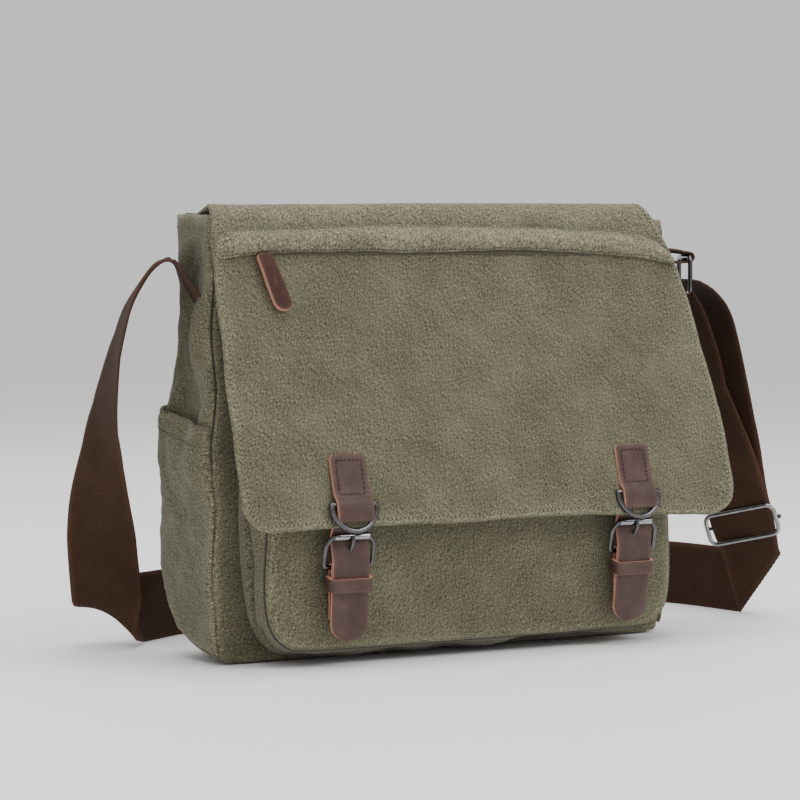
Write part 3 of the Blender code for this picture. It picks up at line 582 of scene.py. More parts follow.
def stitches(name, line, normals, material="thread", pitch=0.0033, length=0.0023, radius=0.00030, shift=0.0):
    """A row of stitches lying on a surface along a polyline."""
    line = np.asarray(line, float)
    total = distances(line)[-1]
    steps = max(int(total / pitch), 1)
    centres = (np.arange(steps) + 0.5 + shift) * total / steps
    places = at(line, centres)
    ahead = at(line, np.minimum(centres + 0.0004, total)) - at(line, np.maximum(centres - 0.0004, 0))
    travelled = distances(line)
    facing = np.stack([np.interp(centres, travelled, np.asarray(normals, float)[:, k]) for k in range(3)], -1)
    verts = []
    faces = []
    for place, along, up in zip(places, ahead, facing):
        along = along / max(np.linalg.norm(along), 1e-9)
        up = up / max(np.linalg.norm(up), 1e-9)
        side = np.cross(along, up)
        first = len(verts)
        for reach, size, sink in ((-0.5, 0.45, -0.6), (-0.2, 1.0, 0.1), (0.2, 1.0, 0.1), (0.5, 0.45, -0.6)):
            middle = place + along * (reach * length) + up * (radius * sink)
            for turn in range(5):
                angle = 2 * math.pi * turn / 5
                verts.append(middle + (side * math.cos(angle) + up * math.sin(angle) * 0.8) * radius * size)
        for ring in range(3):
            for k in range(5):
                low = first + ring * 5
                faces.append([low + k, low + (k + 1) % 5, low + 5 + (k + 1) % 5, low + 5 + k])
        faces.append([first + k for k in range(4, -1, -1)])
        faces.append([first + 15 + k for k in range(5)])
    return make_piece(name, verts, faces, [material])


def sewn_row(name, line, normals, thread="thread", pitch=0.0033, length=0.0023, radius=0.00030):
    """Stitches with the painted shade of the needle holes between them."""
    rows = [stitches(name, line, normals, thread, pitch, length, radius),
            stitches(name + "_holes", line, normals, "needle_hole", pitch, pitch * 0.45, radius * 1.6, 0.5)]
    return join(name, rows)


def join(name, parts):
    """One object from several, keeping their materials and flat coordinates."""
    with bpy.context.temp_override(active_object=parts[0], selected_editable_objects=parts,
                                   selected_objects=parts, object=parts[0]):
        bpy.ops.object.join()
    parts[0].name = name
    parts[0].data.name = name
    return parts[0]


def coons(low, high, near, far, rows, columns):
    """A grid between four curves: low and high run with the columns, near and far with the rows."""
    u = np.linspace(0, 1, rows)[:, None, None]
    v = np.linspace(0, 1, columns)[None, :, None]
    a = fractions(near, u[:, 0, 0])[:, None, :]
    b = fractions(far, u[:, 0, 0])[:, None, :]
    c = fractions(low, v[0, :, 0])[None, :, :]
    d = fractions(high, v[0, :, 0])[None, :, :]
    corners = ((1 - u) * (1 - v) * low[0] + u * (1 - v) * high[0]
               + (1 - u) * v * low[-1] + u * v * high[-1])
    return (1 - v) * a + v * b + (1 - u) * c + u * d - corners


def push_out(grid, amount, outside=1):
    return grid + grid_normals(grid) * (np.asarray(amount)[..., None] * outside)


def settle(piece, body, slot, *nodes):
    """The piece rides on a body and stands for CAD nodes, which are hidden; slot is not used."""
    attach(piece, body)
    if nodes:
        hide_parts(*nodes)
    return piece


# ---------------------------------------------------------------- shoulder strap

def route_samples(route, spacing):
    """Points and unit width directions at an even spacing."""
    both = np.array([(*place, *across) for place, across in route], float)
    both[:, 3:] /= np.linalg.norm(both[:, 3:], axis=1, keepdims=True)
    line = smooth_line(both[:, :3])
    widths = []
    for a, b in zip(both[:-1, 3:], both[1:, 3:]):
        for step in np.linspace(0, 1, 12, endpoint=False):
            widths.append(a * (1 - step) + b * step)
    widths.append(both[-1, 3:])
    total = distances(line)[-1]
    where = np.linspace(0, total, int(total / spacing) + 1)
    travelled = distances(line)
    across = np.stack([np.interp(where, travelled, np.array(widths)[:, k]) for k in range(3)], -1)
    return at(line, where), across


def webbing_rows(route, half_width, spacing, square=True):
    """Rows of points across flat webbing along a route."""
    line, across = route_samples(route, spacing)
    tangents = np.gradient(line, axis=0)
    tangents /= np.linalg.norm(tangents, axis=1, keepdims=True)
    if square:
        across = across - tangents * (across * tangents).sum(1, keepdims=True)
    across = across / np.linalg.norm(across, axis=1, keepdims=True)
    spread = np.linspace(-half_width, half_width, WEBBING_COLUMNS)
    return line[:, None, :] + across[:, None, :] * spread[None, :, None]


def webbing_piece(name, rows, half_width, thickness, ripple=0.0):
    """Webbing with soft selvedges from its rows, a little cupped here and there."""
    spread = np.linspace(-1, 1, WEBBING_COLUMNS)
    middle = rows[:, WEBBING_COLUMNS // 2]
    where = distances(middle)
    cup = ripple * (spread ** 2 - 0.4)[None, :] * np.sin(where / 0.045)[:, None]
    grid = rows + grid_normals(rows) * cup[..., None]
    flat = np.stack(np.broadcast_arrays((spread * half_width)[None, :], where[:, None]), -1)
    return shell(name, grid, thickness, flat, ["webbing"] * 3, bulge=0.5, wear_reach=0.0012)


def unit(vector):
    vector = np.asarray(vector, float)
    return vector / np.linalg.norm(vector)


def fold_rows(half_width, spacing):
    """Rows of the oblique fold: the webbing stands on its edge, rolls over the slanting fold and rises."""
    down = unit(STRAP_FOLD_DOWN)
    away = unit(STRAP_FOLD_AWAY)
    angle = math.atan2(1 - down @ away, -down[2])
    crease = away * math.cos(angle) - np.array([0, 0, 1.0]) * math.sin(angle)
    near = unit(down - crease * (down @ crease))
    far = unit(away - crease * (away @ crease))
    turn = math.acos(near @ far)
    inward = (far - near * math.cos(turn)) / math.sin(turn)
    radius = STRAP_FOLD_RADIUS
    reach = half_width / math.tan(angle)
    lengths = np.arange(reach + radius * turn / math.sin(angle) + 0.002, -reach - 0.002, -spacing)
    spread = np.linspace(-half_width, half_width, WEBBING_COLUMNS)
    s, v = np.meshgrid(lengths, spread, indexing="ij")
    along = s * math.cos(angle) + v * math.sin(angle)
    past = s * math.sin(angle) - v * math.cos(angle)
    bend = np.clip(past / radius, 0, turn)
    straight = np.minimum(past, 0)
    beyond = np.maximum(past - radius * turn, 0)
    return (np.array(STRAP_FOLD) + along[..., None] * crease
            + (straight + radius * np.sin(bend))[..., None] * near
            + (radius * (1 - np.cos(bend)))[..., None] * inward + beyond[..., None] * far)


def rounded_rectangle(centre, along, up, half_along, half_up, corner, segments=8):
    points = []
    for quarter, (su, sv) in enumerate(((1, 1), (-1, 1), (-1, -1), (1, -1))):
        for step in range(segments + 1):
            angle = math.pi / 2 * (quarter + step / segments)
            u = su * (half_along - corner) + corner * math.cos(angle)
            v = sv * (half_up - corner) + corner * math.sin(angle)
            points.append(centre + along * u + up * v)
    return dense(points, closed=True)


def dense(points, closed=False, spacing=0.0008):
    """The same polyline with short steps."""
    line = np.array([tuple(p) for p in points], float)
    if closed:
        line = np.vstack([line, line[:1]])
    total = distances(line)[-1]
    where = np.linspace(0, total, int(total / spacing) + 1)
    result = at(line, where)
    return result[:-1] if closed else result


def build_strap():
    turn = fold_rows(STRAP_HALF, 0.0012)
    low = turn[0, WEBBING_COLUMNS // 2]
    high = turn[-1, WEBBING_COLUMNS // 2]
    rear = STRAP_REAR_ROUTE + [(tuple(low + unit(STRAP_FOLD_AWAY) * 0.012), (0.0, 0.0, -1.0)),
                               (tuple(low), (0.0, 0.0, -1.0))]
    rising = tuple(turn[-1, -1] - turn[-1, 0])
    front = [(tuple(high), rising)] + STRAP_FRONT_ROUTE
    rows = np.vstack([webbing_rows(rear, STRAP_HALF, 0.004)[:-1], turn,
                      webbing_rows(front, STRAP_HALF, 0.004)[1:]])
    main = webbing_piece("shoulder_strap", rows, STRAP_HALF, WEBBING, ripple=0.0006)
    settle(main, "bag", "webbing", "strap_main")
    end = webbing_piece("strap_doubled_end", webbing_rows(STRAP_END_ROUTE, STRAP_HALF, 0.004), STRAP_HALF,
                        WEBBING)
    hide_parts("strap_end")
    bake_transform(end)
    tab = webbing_piece("ring_tab_webbing", webbing_rows(RING_TAB_ROUTE, RING_TAB_HALF, 0.0012, square=False),
                        RING_TAB_HALF, WEBBING)
    settle(tab, "bag", "webbing", "ring_tab")
    along = Vector((0.4512, 0.8924, 0.0))
    up = Vector((0, 0, 1))
    top = Vector(JOINTS["ring_tilt"]["pos_m"])
    loop = rounded_rectangle(top - up * 0.0135, along, up, 0.0275, 0.0135, 0.004)
    ring = settle(tube("ring_wire", loop, 0.00185, "gunmetal", closed=True, up=along.cross(up)),
                  "ring", "gunmetal", "strap_ring")
    middle = Vector((0.299, 0.0, 0.0735))
    down = Vector(STRAP_FOLD_DOWN).normalized()
    across = Vector((-0.597, 0.775, -0.209)).normalized()
    face = across.cross(down).normalized()
    lift = 0.0028
    outline = rounded_rectangle(middle + face * lift, across, down, 0.0282, 0.0122, 0.0062)
    slider = settle(tube("slider_wire", outline, 0.00175, "polished", closed=True, squash=0.75, up=face),
                    "slider", "gunmetal", "slider_frame")
    bar = [middle - face * lift + across * (0.0312 * k / 20) for k in range(-20, 21)]
    radii = np.interp(np.abs(np.linspace(-1, 1, 41)), [0, 0.90, 0.94, 0.985, 1.0],
                      [0.0014, 0.0014, 0.0021, 0.0021, 0.0013])
    centre_bar = settle(tube("slider_centre_bar", bar, radii, "gunmetal", up=face),
                        "slider", "gunmetal", "slider_bar")


# ---------------------------------------------------------------- body

def body_seams(inset):
    """The body's seam lines, moved inwards by inset: front, back and lower gusset lines of each side, and the
    panels' lower and upper edges."""
    lines = {}
    for side, sign in (("left", -1), ("right", 1)):
        front = [(0.1842, -0.0448, 0.0054), (0.1868, -0.0458, 0.0160), (0.1885, -0.0462, 0.050),
                 (0.1890, -0.0460, 0.120),
                 (0.1892, -0.0455, 0.200), (0.1888, -0.0435, 0.3098)]
        if side == "left":
            back = [(0.1850, 0.0310, 0.0340), (0.1865, 0.0368, 0.060), (0.1870, 0.0355, 0.105),
                    (0.1870, 0.0325, 0.140), (0.1868, 0.0260, 0.175), (0.1862, 0.0150, 0.220),
                    (0.1850, 0.0075, 0.250), (0.1862, 0.0115, 0.278), (0.1870, 0.0145, 0.3115)]
        else:
            back = [(0.1850, 0.0310, 0.0340), (0.1865, 0.0368, 0.060), (0.1870, 0.0355, 0.105),
                    (0.1870, 0.0325, 0.140), (0.1870, 0.0275, 0.175), (0.1868, 0.0200, 0.220),
                    (0.1862, 0.0140, 0.255), (0.1850, 0.0120, 0.285), (0.1865, 0.0145, 0.3115)]
        lower = [(0.1842, -0.0448, 0.0054), (0.1862, -0.0230, 0.0085), (0.1868, 0.0000, 0.0150),
                 (0.1860, 0.0180, 0.0245), (0.1850, 0.0310, 0.0340)]
        shift = np.array([-sign * inset, inset, inset * 0.4])
        turn = np.array([sign, 1.0, 1.0])
        seam = dense(smooth_line(np.array(front) * turn), spacing=0.004)
        drift = 0.0036 * crumple(seam[:, 2], seam[:, 2] * 0, 0.042, 7.0 + sign)
        drift = drift * np.sin(math.pi * np.linspace(0, 1, len(seam))) ** 0.5
        lines["front_" + side] = seam + drift[:, None] * np.array([1.0, 0.2, 0.0]) + shift
        lines["back_" + side] = smooth_line(np.array(back) * turn) + shift * np.array([1, -1, 1])
        lines["lower_" + side] = smooth_line(np.array(lower) * turn)
        ends = (lines["front_" + side][0], lines["back_" + side][0])
        share = np.linspace(0, 1, len(lines["lower_" + side]))[:, None]
        drift = (1 - share) * (ends[0] - lines["lower_" + side][0]) + share * (ends[1] - lines["lower_" + side][-1])
        lines["lower_" + side] = lines["lower_" + side] + drift
    lift = inset * 0.9
    lines["front_low"] = smooth_line([lines["front_left"][0], (-0.176, -0.0455 + inset, 0.0022 + lift),
                                      (-0.12, -0.0462 + inset, 0.0017 + lift),
                                      (0.0, -0.0462 + inset, 0.0016 + lift),
                                      (0.12, -0.0462 + inset, 0.0017 + lift),
                                      (0.176, -0.0455 + inset, 0.0022 + lift), lines["front_right"][0]])
    lines["front_high"] = smooth_line([lines["front_left"][-1], (-0.10, -0.0440 + inset, 0.3000),
                                       (0.0, -0.0445 + inset, 0.2985), (0.10, -0.0440 + inset, 0.3000),
                                       lines["front_right"][-1]])
    low = 0.0300 - inset
    lines["back_low"] = smooth_line([lines["back_left"][0], (-0.170, low, 0.0190 + lift),
                                     (-0.145, low, 0.0085 + lift),
                                     (-0.100, low, 0.0045 + lift), (0.0, low, 0.0040 + lift),
                                     (0.100, low, 0.0045 + lift), (0.145, low, 0.0085 + lift),
                                     (0.170, low, 0.0190 + lift), lines["back_right"][0]])
    lines["back_high"] = smooth_line([lines["back_left"][-1], (-0.10, 0.0150 - inset, 0.3090),
                                      (0.0, 0.0152 - inset, 0.3095), (0.10, 0.0150 - inset, 0.3090),
                                      lines["back_right"][-1]])
    return lines


def envelope(rows, columns, power=0.6):
    """1 in the middle of a grid, 0 at its edges."""
    u = np.sin(np.linspace(0, math.pi, rows)) ** power
    v = np.sin(np.linspace(0, math.pi, columns)) ** power
    return u[:, None] * v[None, :]


def body_panel(kind, lines, rows, columns, relief):
    """Middle surface, flat coordinates and outside of one body panel. Rows run up, columns run across."""
    if kind in ("left_gusset", "right_gusset"):
        side = kind.split("_")[0]
        upper = np.vstack([lines["front_" + side][-1], lines["back_" + side][-1]])
        grid = coons(lines["lower_" + side], smooth_line(upper), lines["front_" + side],
                     lines["back_" + side],
                     rows, columns)
        outside = 1 if side == "left" else -1
        size = (0.080, 0.300)
    elif kind == "front":
        grid = coons(lines["front_low"], lines["front_high"], lines["front_left"], lines["front_right"],
                     rows, columns)
        outside = -1
        size = (0.378, 0.300)
    elif kind == "back":
        grid = coons(lines["back_low"], lines["back_high"], lines["back_left"], lines["back_right"], rows,
                     columns)
        outside = 1
        size = (0.378, 0.300)
    else:
        grid = coons(lines["front_low"], lines["back_low"], lines["lower_left"], lines["lower_right"], rows,
                     columns)
        outside = 1
        size = (0.378, 0.080)
    flat = np.stack(np.meshgrid(np.linspace(0, size[0], columns), np.linspace(0, size[1], rows)), -1)
    grid = push_out(grid, relief(flat[..., 0], flat[..., 1]) * envelope(rows, columns, 0.30), outside)
    grid[..., 2] = np.maximum(grid[..., 2], CANVAS / 2 + 0.0002)
    return grid, flat, outside


def root_fold(a, b):
    """The slanting fold that the strap's pull leaves below its root, and the hollow before it."""
    along = np.clip((0.224 - b) / 0.090, 0, 1)
    line = 0.046 + 0.026 * along
    ridge = np.exp(-((a - line) / 0.0060) ** 2) - 0.9 * np.exp(-((a - line + 0.0115) / 0.0060) ** 2)
    return 0.0042 * ridge * np.sin(math.pi * along) ** 0.7


def gusset_relief(seed, pulled):
    """Upright folds that grow towards the top, slanting creases and soft crumpling."""
    def relief(a, b):
        upper = np.clip((b - 0.09) / 0.10, 0, 1)
        drift = 1.9 * crumple(a * 0, b, 0.13, seed)
        folds = 0.0040 * np.sin(a / 0.080 * 2.3 * math.pi + 0.9 + drift) * upper
        slanting = 0.0022 * np.sin((b * 0.85 + a * 1.1) / 0.0105 + 3 * crumple(a, b, 0.07, seed + 2))
        slanting = slanting * upper * np.clip(0.5 + 2.0 * crumple(a, b, 0.05, seed + 5), 0, 1)
        soft = 0.0080 * crumple(a, b, 0.055, seed + 3) + 0.0030 * crumple(a, b, 0.020, seed + 7)
        soft = soft + (root_fold(a, b) if pulled else 0.0)
        return np.maximum(folds + slanting + soft + 0.0030, -0.0010) + 0.0011 * crumple(a, b, 0.008, seed + 9)
    return relief


def panel_relief(seed, bulge):
    def relief(a, b):
        return (bulge + 0.0035 * crumple(a, b, 0.070, seed) + 0.0016 * crumple(a, b, 0.022, seed + 5)
                + 0.0008 * crumple(a, b, 0.008, seed + 9))
    return relief


GUSSET_RELIEF = {"left": gusset_relief(4.0, True), "right": gusset_relief(11.0, False)}


def build_body():
    lines = body_seams(CANVAS / 2)
    plans = [("left_gusset", "gusset_left", 110, 40, GUSSET_RELIEF["left"], ["left_gusset"]),
             ("right_gusset", "gusset_right", 110, 40, GUSSET_RELIEF["right"], ["right_gusset"]),
             ("front", "front_cloth", 90, 110, panel_relief(21.0, 0.0030), ["front_panel"]),
             ("back", "back_cloth", 90, 110, panel_relief(31.0, 0.0045), ["back_panel"]),
             ("bottom", "bottom_cloth", 26, 110, panel_relief(41.0, -0.0004), ["bottom_panel"])]
    for kind, name, rows, columns, relief, nodes in plans:
        grid, flat, outside = body_panel(kind, lines, rows, columns, relief)
        piece = shell(name, grid, CANVAS, flat, LINED_CANVAS, outside)
        settle(piece, "bag", "canvas", *nodes)
        if kind in ("left_gusset", "right_gusset", "back"):
            row = rows - 8 if kind == "back" else rows - 4
            facing = grid_normals(grid)[row] * outside
            settle(sewn_row(name + "_hem", grid[row] + facing * (CANVAS / 2 + 0.0001), facing), "bag",
                   "canvas")
    seams = []
    for side in ("left", "right"):
        for where in ("back_", "lower_"):
            seams.append(tube(where + side, dense(lines[where + side], spacing=0.004), 0.0019, "canvas",
                              sides=10))
    for where in ("front_low", "back_low"):
        seams.append(tube(where, dense(lines[where], spacing=0.004), 0.0019, "canvas", sides=10,
                          up=(0.0, 1.0, 0.2)))
    for piece in seams:
        fill_wear(piece, 0.45)
    settle(join("body_seams", seams), "bag", "canvas")
    # Thin dark tubes along the upper front seams: painted shade of the crease there
    creases = []
    for side, sign in (("left", -1), ("right", 1)):
        line = dense(lines["front_" + side], spacing=0.003)
        line = line[(line[:, 2] > 0.130) & (line[:, 2] < 0.306)] + np.array([sign * 0.0010, -0.0010, 0.0])
        radii = 0.0009 * np.sin(np.linspace(0.15, math.pi - 0.15, len(line))) ** 0.5
        radii = radii * (1 + 0.45 * crumple(line[:, 2], line[:, 2] * 0, 0.025, 140.0))
        creases.append(tube("front_crease_" + side, line, radii, "crease", sides=8))
    settle(join("front_creases", creases), "bag", "canvas")
    inner = body_seams(0.0046)
    parts = []
    for kind, name, rows, columns in (("left_gusset", "a", 60, 24), ("right_gusset", "b", 60, 24),
                                      ("front", "c", 60, 70), ("back", "d", 60, 70), ("bottom", "e", 24, 70)):
        grid, flat, outside = body_panel(kind, inner, rows, columns, panel_relief(50.0, -0.0016))
        parts.append(shell("lining_" + name, grid, 0.0009, flat, ["lining_cloth"] * 3, outside))
    settle(join("inner_lining", parts), "bag", "lining_cloth", "lining")


def add_wear_and_painted_light(piece, amounts):
    """Adds wear to both sides of a shell, given for its middle grid; on the hood it paints light."""
    attribute = piece.data.attributes["wear"]
    values = np.zeros(len(piece.data.vertices), np.float32)
    attribute.data.foreach_get("value", values)
    both = np.tile(np.ravel(amounts), 2)
    values[:len(both)] = np.maximum(values[:len(both)], both)
    attribute.data.foreach_set("value", values)


def fill_wear(piece, value):
    attribute = piece.data.attributes["wear"]
    attribute.data.foreach_set("value", np.full(len(piece.data.vertices), value, np.float32))


# ---------------------------------------------------------------- pocket on the front

def mirrored(points):
    """A left half, low end last, continued to the right."""
    half = [tuple(p) for p in points]
    return [(-x, z) for x, z in half] + [(x, z) for x, z in reversed(half) if x > 0.001]


POCKET_EDGE = mirrored([(0.1640, 0.1470), (0.1645, 0.1000), (0.1665, 0.0620), (0.1655, 0.0400),
                        (0.1615, 0.0260),
                        (0.1520, 0.0170), (0.1380, 0.0140), (0.1000, 0.0134), (0.0500, 0.0132),
                        (0.0, 0.0132)])
POCKET_ROOT = mirrored([(0.1690, 0.1470), (0.1690, 0.0940), (0.1675, 0.0660), (0.1625, 0.0350),
                        (0.1540, 0.0180),
                        (0.1430, 0.0090), (0.1200, 0.0048), (0.0800, 0.0040), (0.0400, 0.0038),
                        (0.0, 0.0038)])


def pocket_face(x, z):
    """y of the pocket's front, which rounds back towards its sewn edge."""
    edge = np.clip((0.1660 - np.abs(x)) / 0.022, 0, 1)
    low = np.clip((z - 0.0130) / 0.026, 0, 1)
    soft = (1 - (1 - edge) ** 2) * (1 - (1 - low) ** 2)
    relief = 0.0030 * crumple(x, z, 0.060, 61.0) + 0.0014 * crumple(x, z, 0.022, 64.0)
    relief = relief + 0.0007 * crumple(x, z, 0.008, 66.0)
    return POCKET_FACE + CANVAS / 2 + 0.0045 * (1 - soft) + 0.0008 - relief * soft


def outline_grid(outline, top, rows, columns):
    """x and z of a grid that fills a cut with level rows, given its left, lower and right edge."""
    line = smooth_line(outline, 16)
    middle = len(line) // 2
    left = line[:middle + 1]
    right = line[middle:][::-1]
    low = line[:, 1].min()
    share = np.sin(np.linspace(0, math.pi / 2, rows)) ** 0.9
    heights = top + (low + 0.0004 - top) * share
    order = np.argsort(left[:, 1])
    x0 = np.interp(heights, left[order, 1], left[order, 0])
    order = np.argsort(right[:, 1])
    x1 = np.interp(heights, right[order, 1], right[order, 0])
    across = np.linspace(0, 1, columns)[None, :]
    x = x0[:, None] * (1 - across) + x1[:, None] * across
    return x, np.broadcast_to(heights[:, None], x.shape)


def offset_flat(line, distance):
    """A flat polyline moved to its left by distance."""
    tangents = np.gradient(line, axis=0)
    tangents /= np.maximum(np.linalg.norm(tangents, axis=1, keepdims=True), 1e-12)
    return line + np.stack([-tangents[:, 1], tangents[:, 0]], -1) * distance


def build_front_pocket():
    x, z = outline_grid(POCKET_EDGE, 0.1470, 70, 110)
    grid = np.stack([x, pocket_face(x, z), z], -1)
    piece = shell("pocket_front_cloth", grid, CANVAS, np.stack([x, z], -1), LINED_CANVAS,
                  outside=1)
    settle(piece, "bag", "canvas", "pocket_front")
    edge = dense(smooth_line(POCKET_EDGE), spacing=0.0025)
    root = fractions(smooth_line(POCKET_ROOT), np.linspace(0, 1, len(edge)))
    front_y = pocket_face(edge[:, 0], edge[:, 1]) + 0.0006
    depth = np.linspace(0, 1, 26)
    out = offset_flat(edge, -1.0) - edge
    along = distances(edge)
    rows = []
    for share in depth:
        flat = edge * (1 - share) + root * share
        swell = 0.0050 * math.sin(math.pi * share) - 0.0062 * math.exp(-((share - 0.52) / 0.07) ** 2)
        rough = 0.0055 * crumple(along, along * 0 + share * 0.04, 0.030, 71.0) * math.sin(math.pi * share)
        swell = np.where(edge[:, 1] < 0.03, min(swell, 0.0012), swell)
        flat = flat + out * (swell + rough)[:, None]
        flat[:, 1] = np.maximum(flat[:, 1], 0.0030)
        y = front_y * (1 - share) + (-0.0478) * share
        rows.append(np.stack([flat[:, 0], y, flat[:, 1]], -1))
    grid = np.array(rows)
    flat = np.stack(np.broadcast_arrays(along[None, :], (depth * 0.042)[:, None]), -1)
    piece = shell("pocket_gusset_cloth", grid, 0.0022, flat, LINED_CANVAS, outside=1)
    settle(piece, "bag", "canvas", "pocket_gusset")
    ridge = np.stack([edge[:, 0], front_y - 0.0003, edge[:, 1]], -1)
    roll = tube("pocket_edge_roll", ridge, 0.0019, "canvas", sides=12, squash=0.9)
    fill_wear(roll, 0.35)
    settle(roll, "bag", "canvas", "pocket_piping")
    # A thin dark tube by the pocket's edge: painted shade in the groove
    groove_shade = offset_flat(edge, -0.0021)
    groove_shade = tube("pocket_groove", np.stack([groove_shade[:, 0], front_y + 0.0012, groove_shade[:, 1]], -1), 0.0008,
                  "crease", sides=8)
    settle(groove_shade, "bag", "canvas")
    back = np.stack([root[:, 0], root[:, 0] * 0 - 0.0482, root[:, 1]], -1)
    seam = tube("pocket_root_roll", back, 0.0018, "canvas", sides=10)
    fill_wear(seam, 0.7)
    settle(seam, "bag", "canvas")


# ---------------------------------------------------------------- side pockets

def build_side_pocket(side, sign):
    """A slip pocket on the gusset with a folded hem along its slanting mouth."""
    rows, columns = 60, 34
    lines = body_seams(CANVAS / 2)
    gusset = body_panel(side + "_gusset", lines, 110, 40, GUSSET_RELIEF[side])[0].reshape(-1, 3)
    y = np.linspace(-0.0450, 0.0335, columns)[None, :]
    share = np.linspace(0, 1, rows)[:, None]
    mouth = 0.1645 + 0.0120 * ((y + 0.045) / 0.078) ** 1.4
    floor = np.interp(y, [-0.0455, -0.023, 0.0, 0.018, 0.031, 0.04],
                      [0.0080, 0.0110, 0.0175, 0.0265, 0.0360, 0.046])
    z = floor + (mouth - floor) * share
    limit = np.interp(z, [0.034, 0.060, 0.105, 0.140, 0.175], [0.0302, 0.0360, 0.0347, 0.0317, 0.0255])
    y = -0.0452 + (y + 0.0450) / 0.0785 * (limit + 0.0452)
    cover = np.sin(math.pi * np.clip((y + 0.0455) / (limit + 0.0455), 0, 1)) ** 0.5
    places = np.stack([y, z], -1).reshape(-1, 2)
    nearest = ((places[:, None, :] - gusset[None, :, 1:]) ** 2).sum(-1).argmin(1)
    under = np.abs(gusset[nearest, 0]).reshape(rows, columns) + CANVAS / 2 + 0.0011
    swell = cover * np.clip(share * 1.2, 0, 1) * (0.0020 + 0.0014 * crumple(y, z, 0.014, 85.0 + sign))
    x = sign * (under + 0.0002 + np.maximum(swell, 0) + 0.0014 * np.clip((share - 0.9) / 0.1, 0, 1) * cover)
    grid = np.stack(np.broadcast_arrays(x, y, z), -1)
    flat = np.stack(np.broadcast_arrays(y, z), -1)
    piece = shell("side_pocket_cloth_" + side, grid, 0.0022, flat, LINED_CANVAS,
                  outside=sign * -1)
    settle(piece, "bag", "canvas", "side_pocket_" + side)
    path = grid[rows - 6] + np.array([sign * 0.0012, 0, 0])
    settle(sewn_row("side_pocket_stitches_" + side, path, np.tile((sign, 0, 0), (columns, 1)), "tone_thread"),
           "bag",
           "canvas")
    lip = grid[-1] + np.array([sign * 0.0002, 0, 0])
    roll = tube("side_pocket_lip_" + side, lip, 0.0017, "canvas", sides=10, up=(1.0, 0.0, 0.0))
    fill_wear(roll, 0.25)
    settle(roll, "bag", "canvas")


# ---------------------------------------------------------------- flap

def flap_face(z):
    return CREASE_Y - (CREASE_Z - z) * FLAP_SLOPE


FLAP_PROFILE = smooth_line([(0.0170, 0.3040), (0.0165, 0.3065), (0.0140, 0.3088), (0.0080, 0.3100),
                            (-0.0150, 0.3125), (-0.0350, 0.3172), (-0.0425, 0.3166), (-0.0474, 0.3122),
                            (-0.0500, 0.3050)] + [(flap_face(z) + 0.0013, z) for z in
                                                  (0.290, 0.260, 0.220, 0.180, 0.140, 0.112, 0.0975)])
FLAP_LENGTH = distances(FLAP_PROFILE)[-1]
FLAP_JOIN = float(np.interp(0.0150, -FLAP_PROFILE[:, 0], distances(FLAP_PROFILE)))
FLAP_CORNER = 0.022


def flap_surface(x, s):
    """Middle surface of the flap at flat coordinates: x across, s along it from the back seam."""
    line = at(FLAP_PROFILE, np.clip(s, 0, FLAP_LENGTH))
    beyond = np.maximum(s - FLAP_LENGTH, 0)
    y = line[..., 0] - beyond * 0.27
    z = line[..., 1] - beyond * 0.96
    hang = np.clip((s - 0.080) / (FLAP_LENGTH - 0.080), 0, 1)
    relief = 0.0060 * crumple(x, s, 0.100, 91.0) * hang
    relief = relief + 0.0026 * crumple(x, s, 0.034, 93.0) * np.clip(hang * 5, 0, 1)
    relief = relief + 0.0011 * crumple(x, s, 0.011, 97.0)
    relief = relief + 0.0016 * np.sin(x / 0.052 + 0.6) * hang ** 2
    rise = np.interp(x, [-0.165, -0.020, 0.135], [0.0, 0.0027, 0.0044])
    rise = rise * np.clip(s / 0.030, 0, 1) * np.clip((0.110 - s) / 0.050, 0, 1)
    return np.stack([x * np.ones_like(y), y - relief * 0.95, z - relief * 0.2 + rise], -1)


def flap_left(s):
    return np.interp(s, [0.0, 0.03, 0.055, 0.068, 0.085, 0.12, FLAP_LENGTH],
                     [-0.1820, -0.1835, -0.1870, -0.1905, -0.1920, -0.1945, -0.1965])


def flap_right(s):
    return np.interp(s, [0.0, 0.03, 0.055, 0.066, 0.074, 0.082, 0.099, 0.111, 0.15, 0.22, 0.28, FLAP_LENGTH],
                     [0.1780, 0.1745, 0.1690, 0.1695, 0.1745, 0.1790, 0.1875, 0.1920, 0.1990, 0.2090, 0.2100,
                      0.2080])


def flap_hem(x):
    """How far the hem is from the back seam."""
    return FLAP_LENGTH + np.interp(x, [-0.196, -0.06, 0.08, 0.15, 0.21],
                                   [0.0005, -0.0020, -0.0020, 0.0010, 0.0050])


def flap_cut(inset=0.0, start=FLAP_JOIN):
    """Flat outline of the flap's front part: down its left edge, along the hem and up the right edge."""
    radius = FLAP_CORNER - inset
    points = []
    for s in np.linspace(start, FLAP_LENGTH - FLAP_CORNER, 60):
        points.append((flap_left(s) + inset, s))
    base = FLAP_LENGTH
    left = flap_left(base) + FLAP_CORNER
    right = flap_right(base) - FLAP_CORNER
    for step in range(1, 10):
        angle = math.pi / 2 * step / 10
        points.append((left - radius * math.cos(angle), base - FLAP_CORNER + radius * math.sin(angle)))
    for x in np.linspace(left, right, 90):
        points.append((x, base - inset))
    for step in range(1, 10):
        angle = math.pi / 2 * (1 - step / 10)
        points.append((right + radius * math.cos(angle), base - FLAP_CORNER + radius * math.sin(angle)))
    for s in np.linspace(FLAP_LENGTH - FLAP_CORNER, start, 60):
        points.append((flap_right(s) - inset, s))
    line = np.array(points)
    near = np.clip((line[:, 1] - (FLAP_LENGTH - 0.05)) / 0.05, 0, 1)
    line[:, 1] += near * (flap_hem(line[:, 0]) - FLAP_LENGTH)
    return line


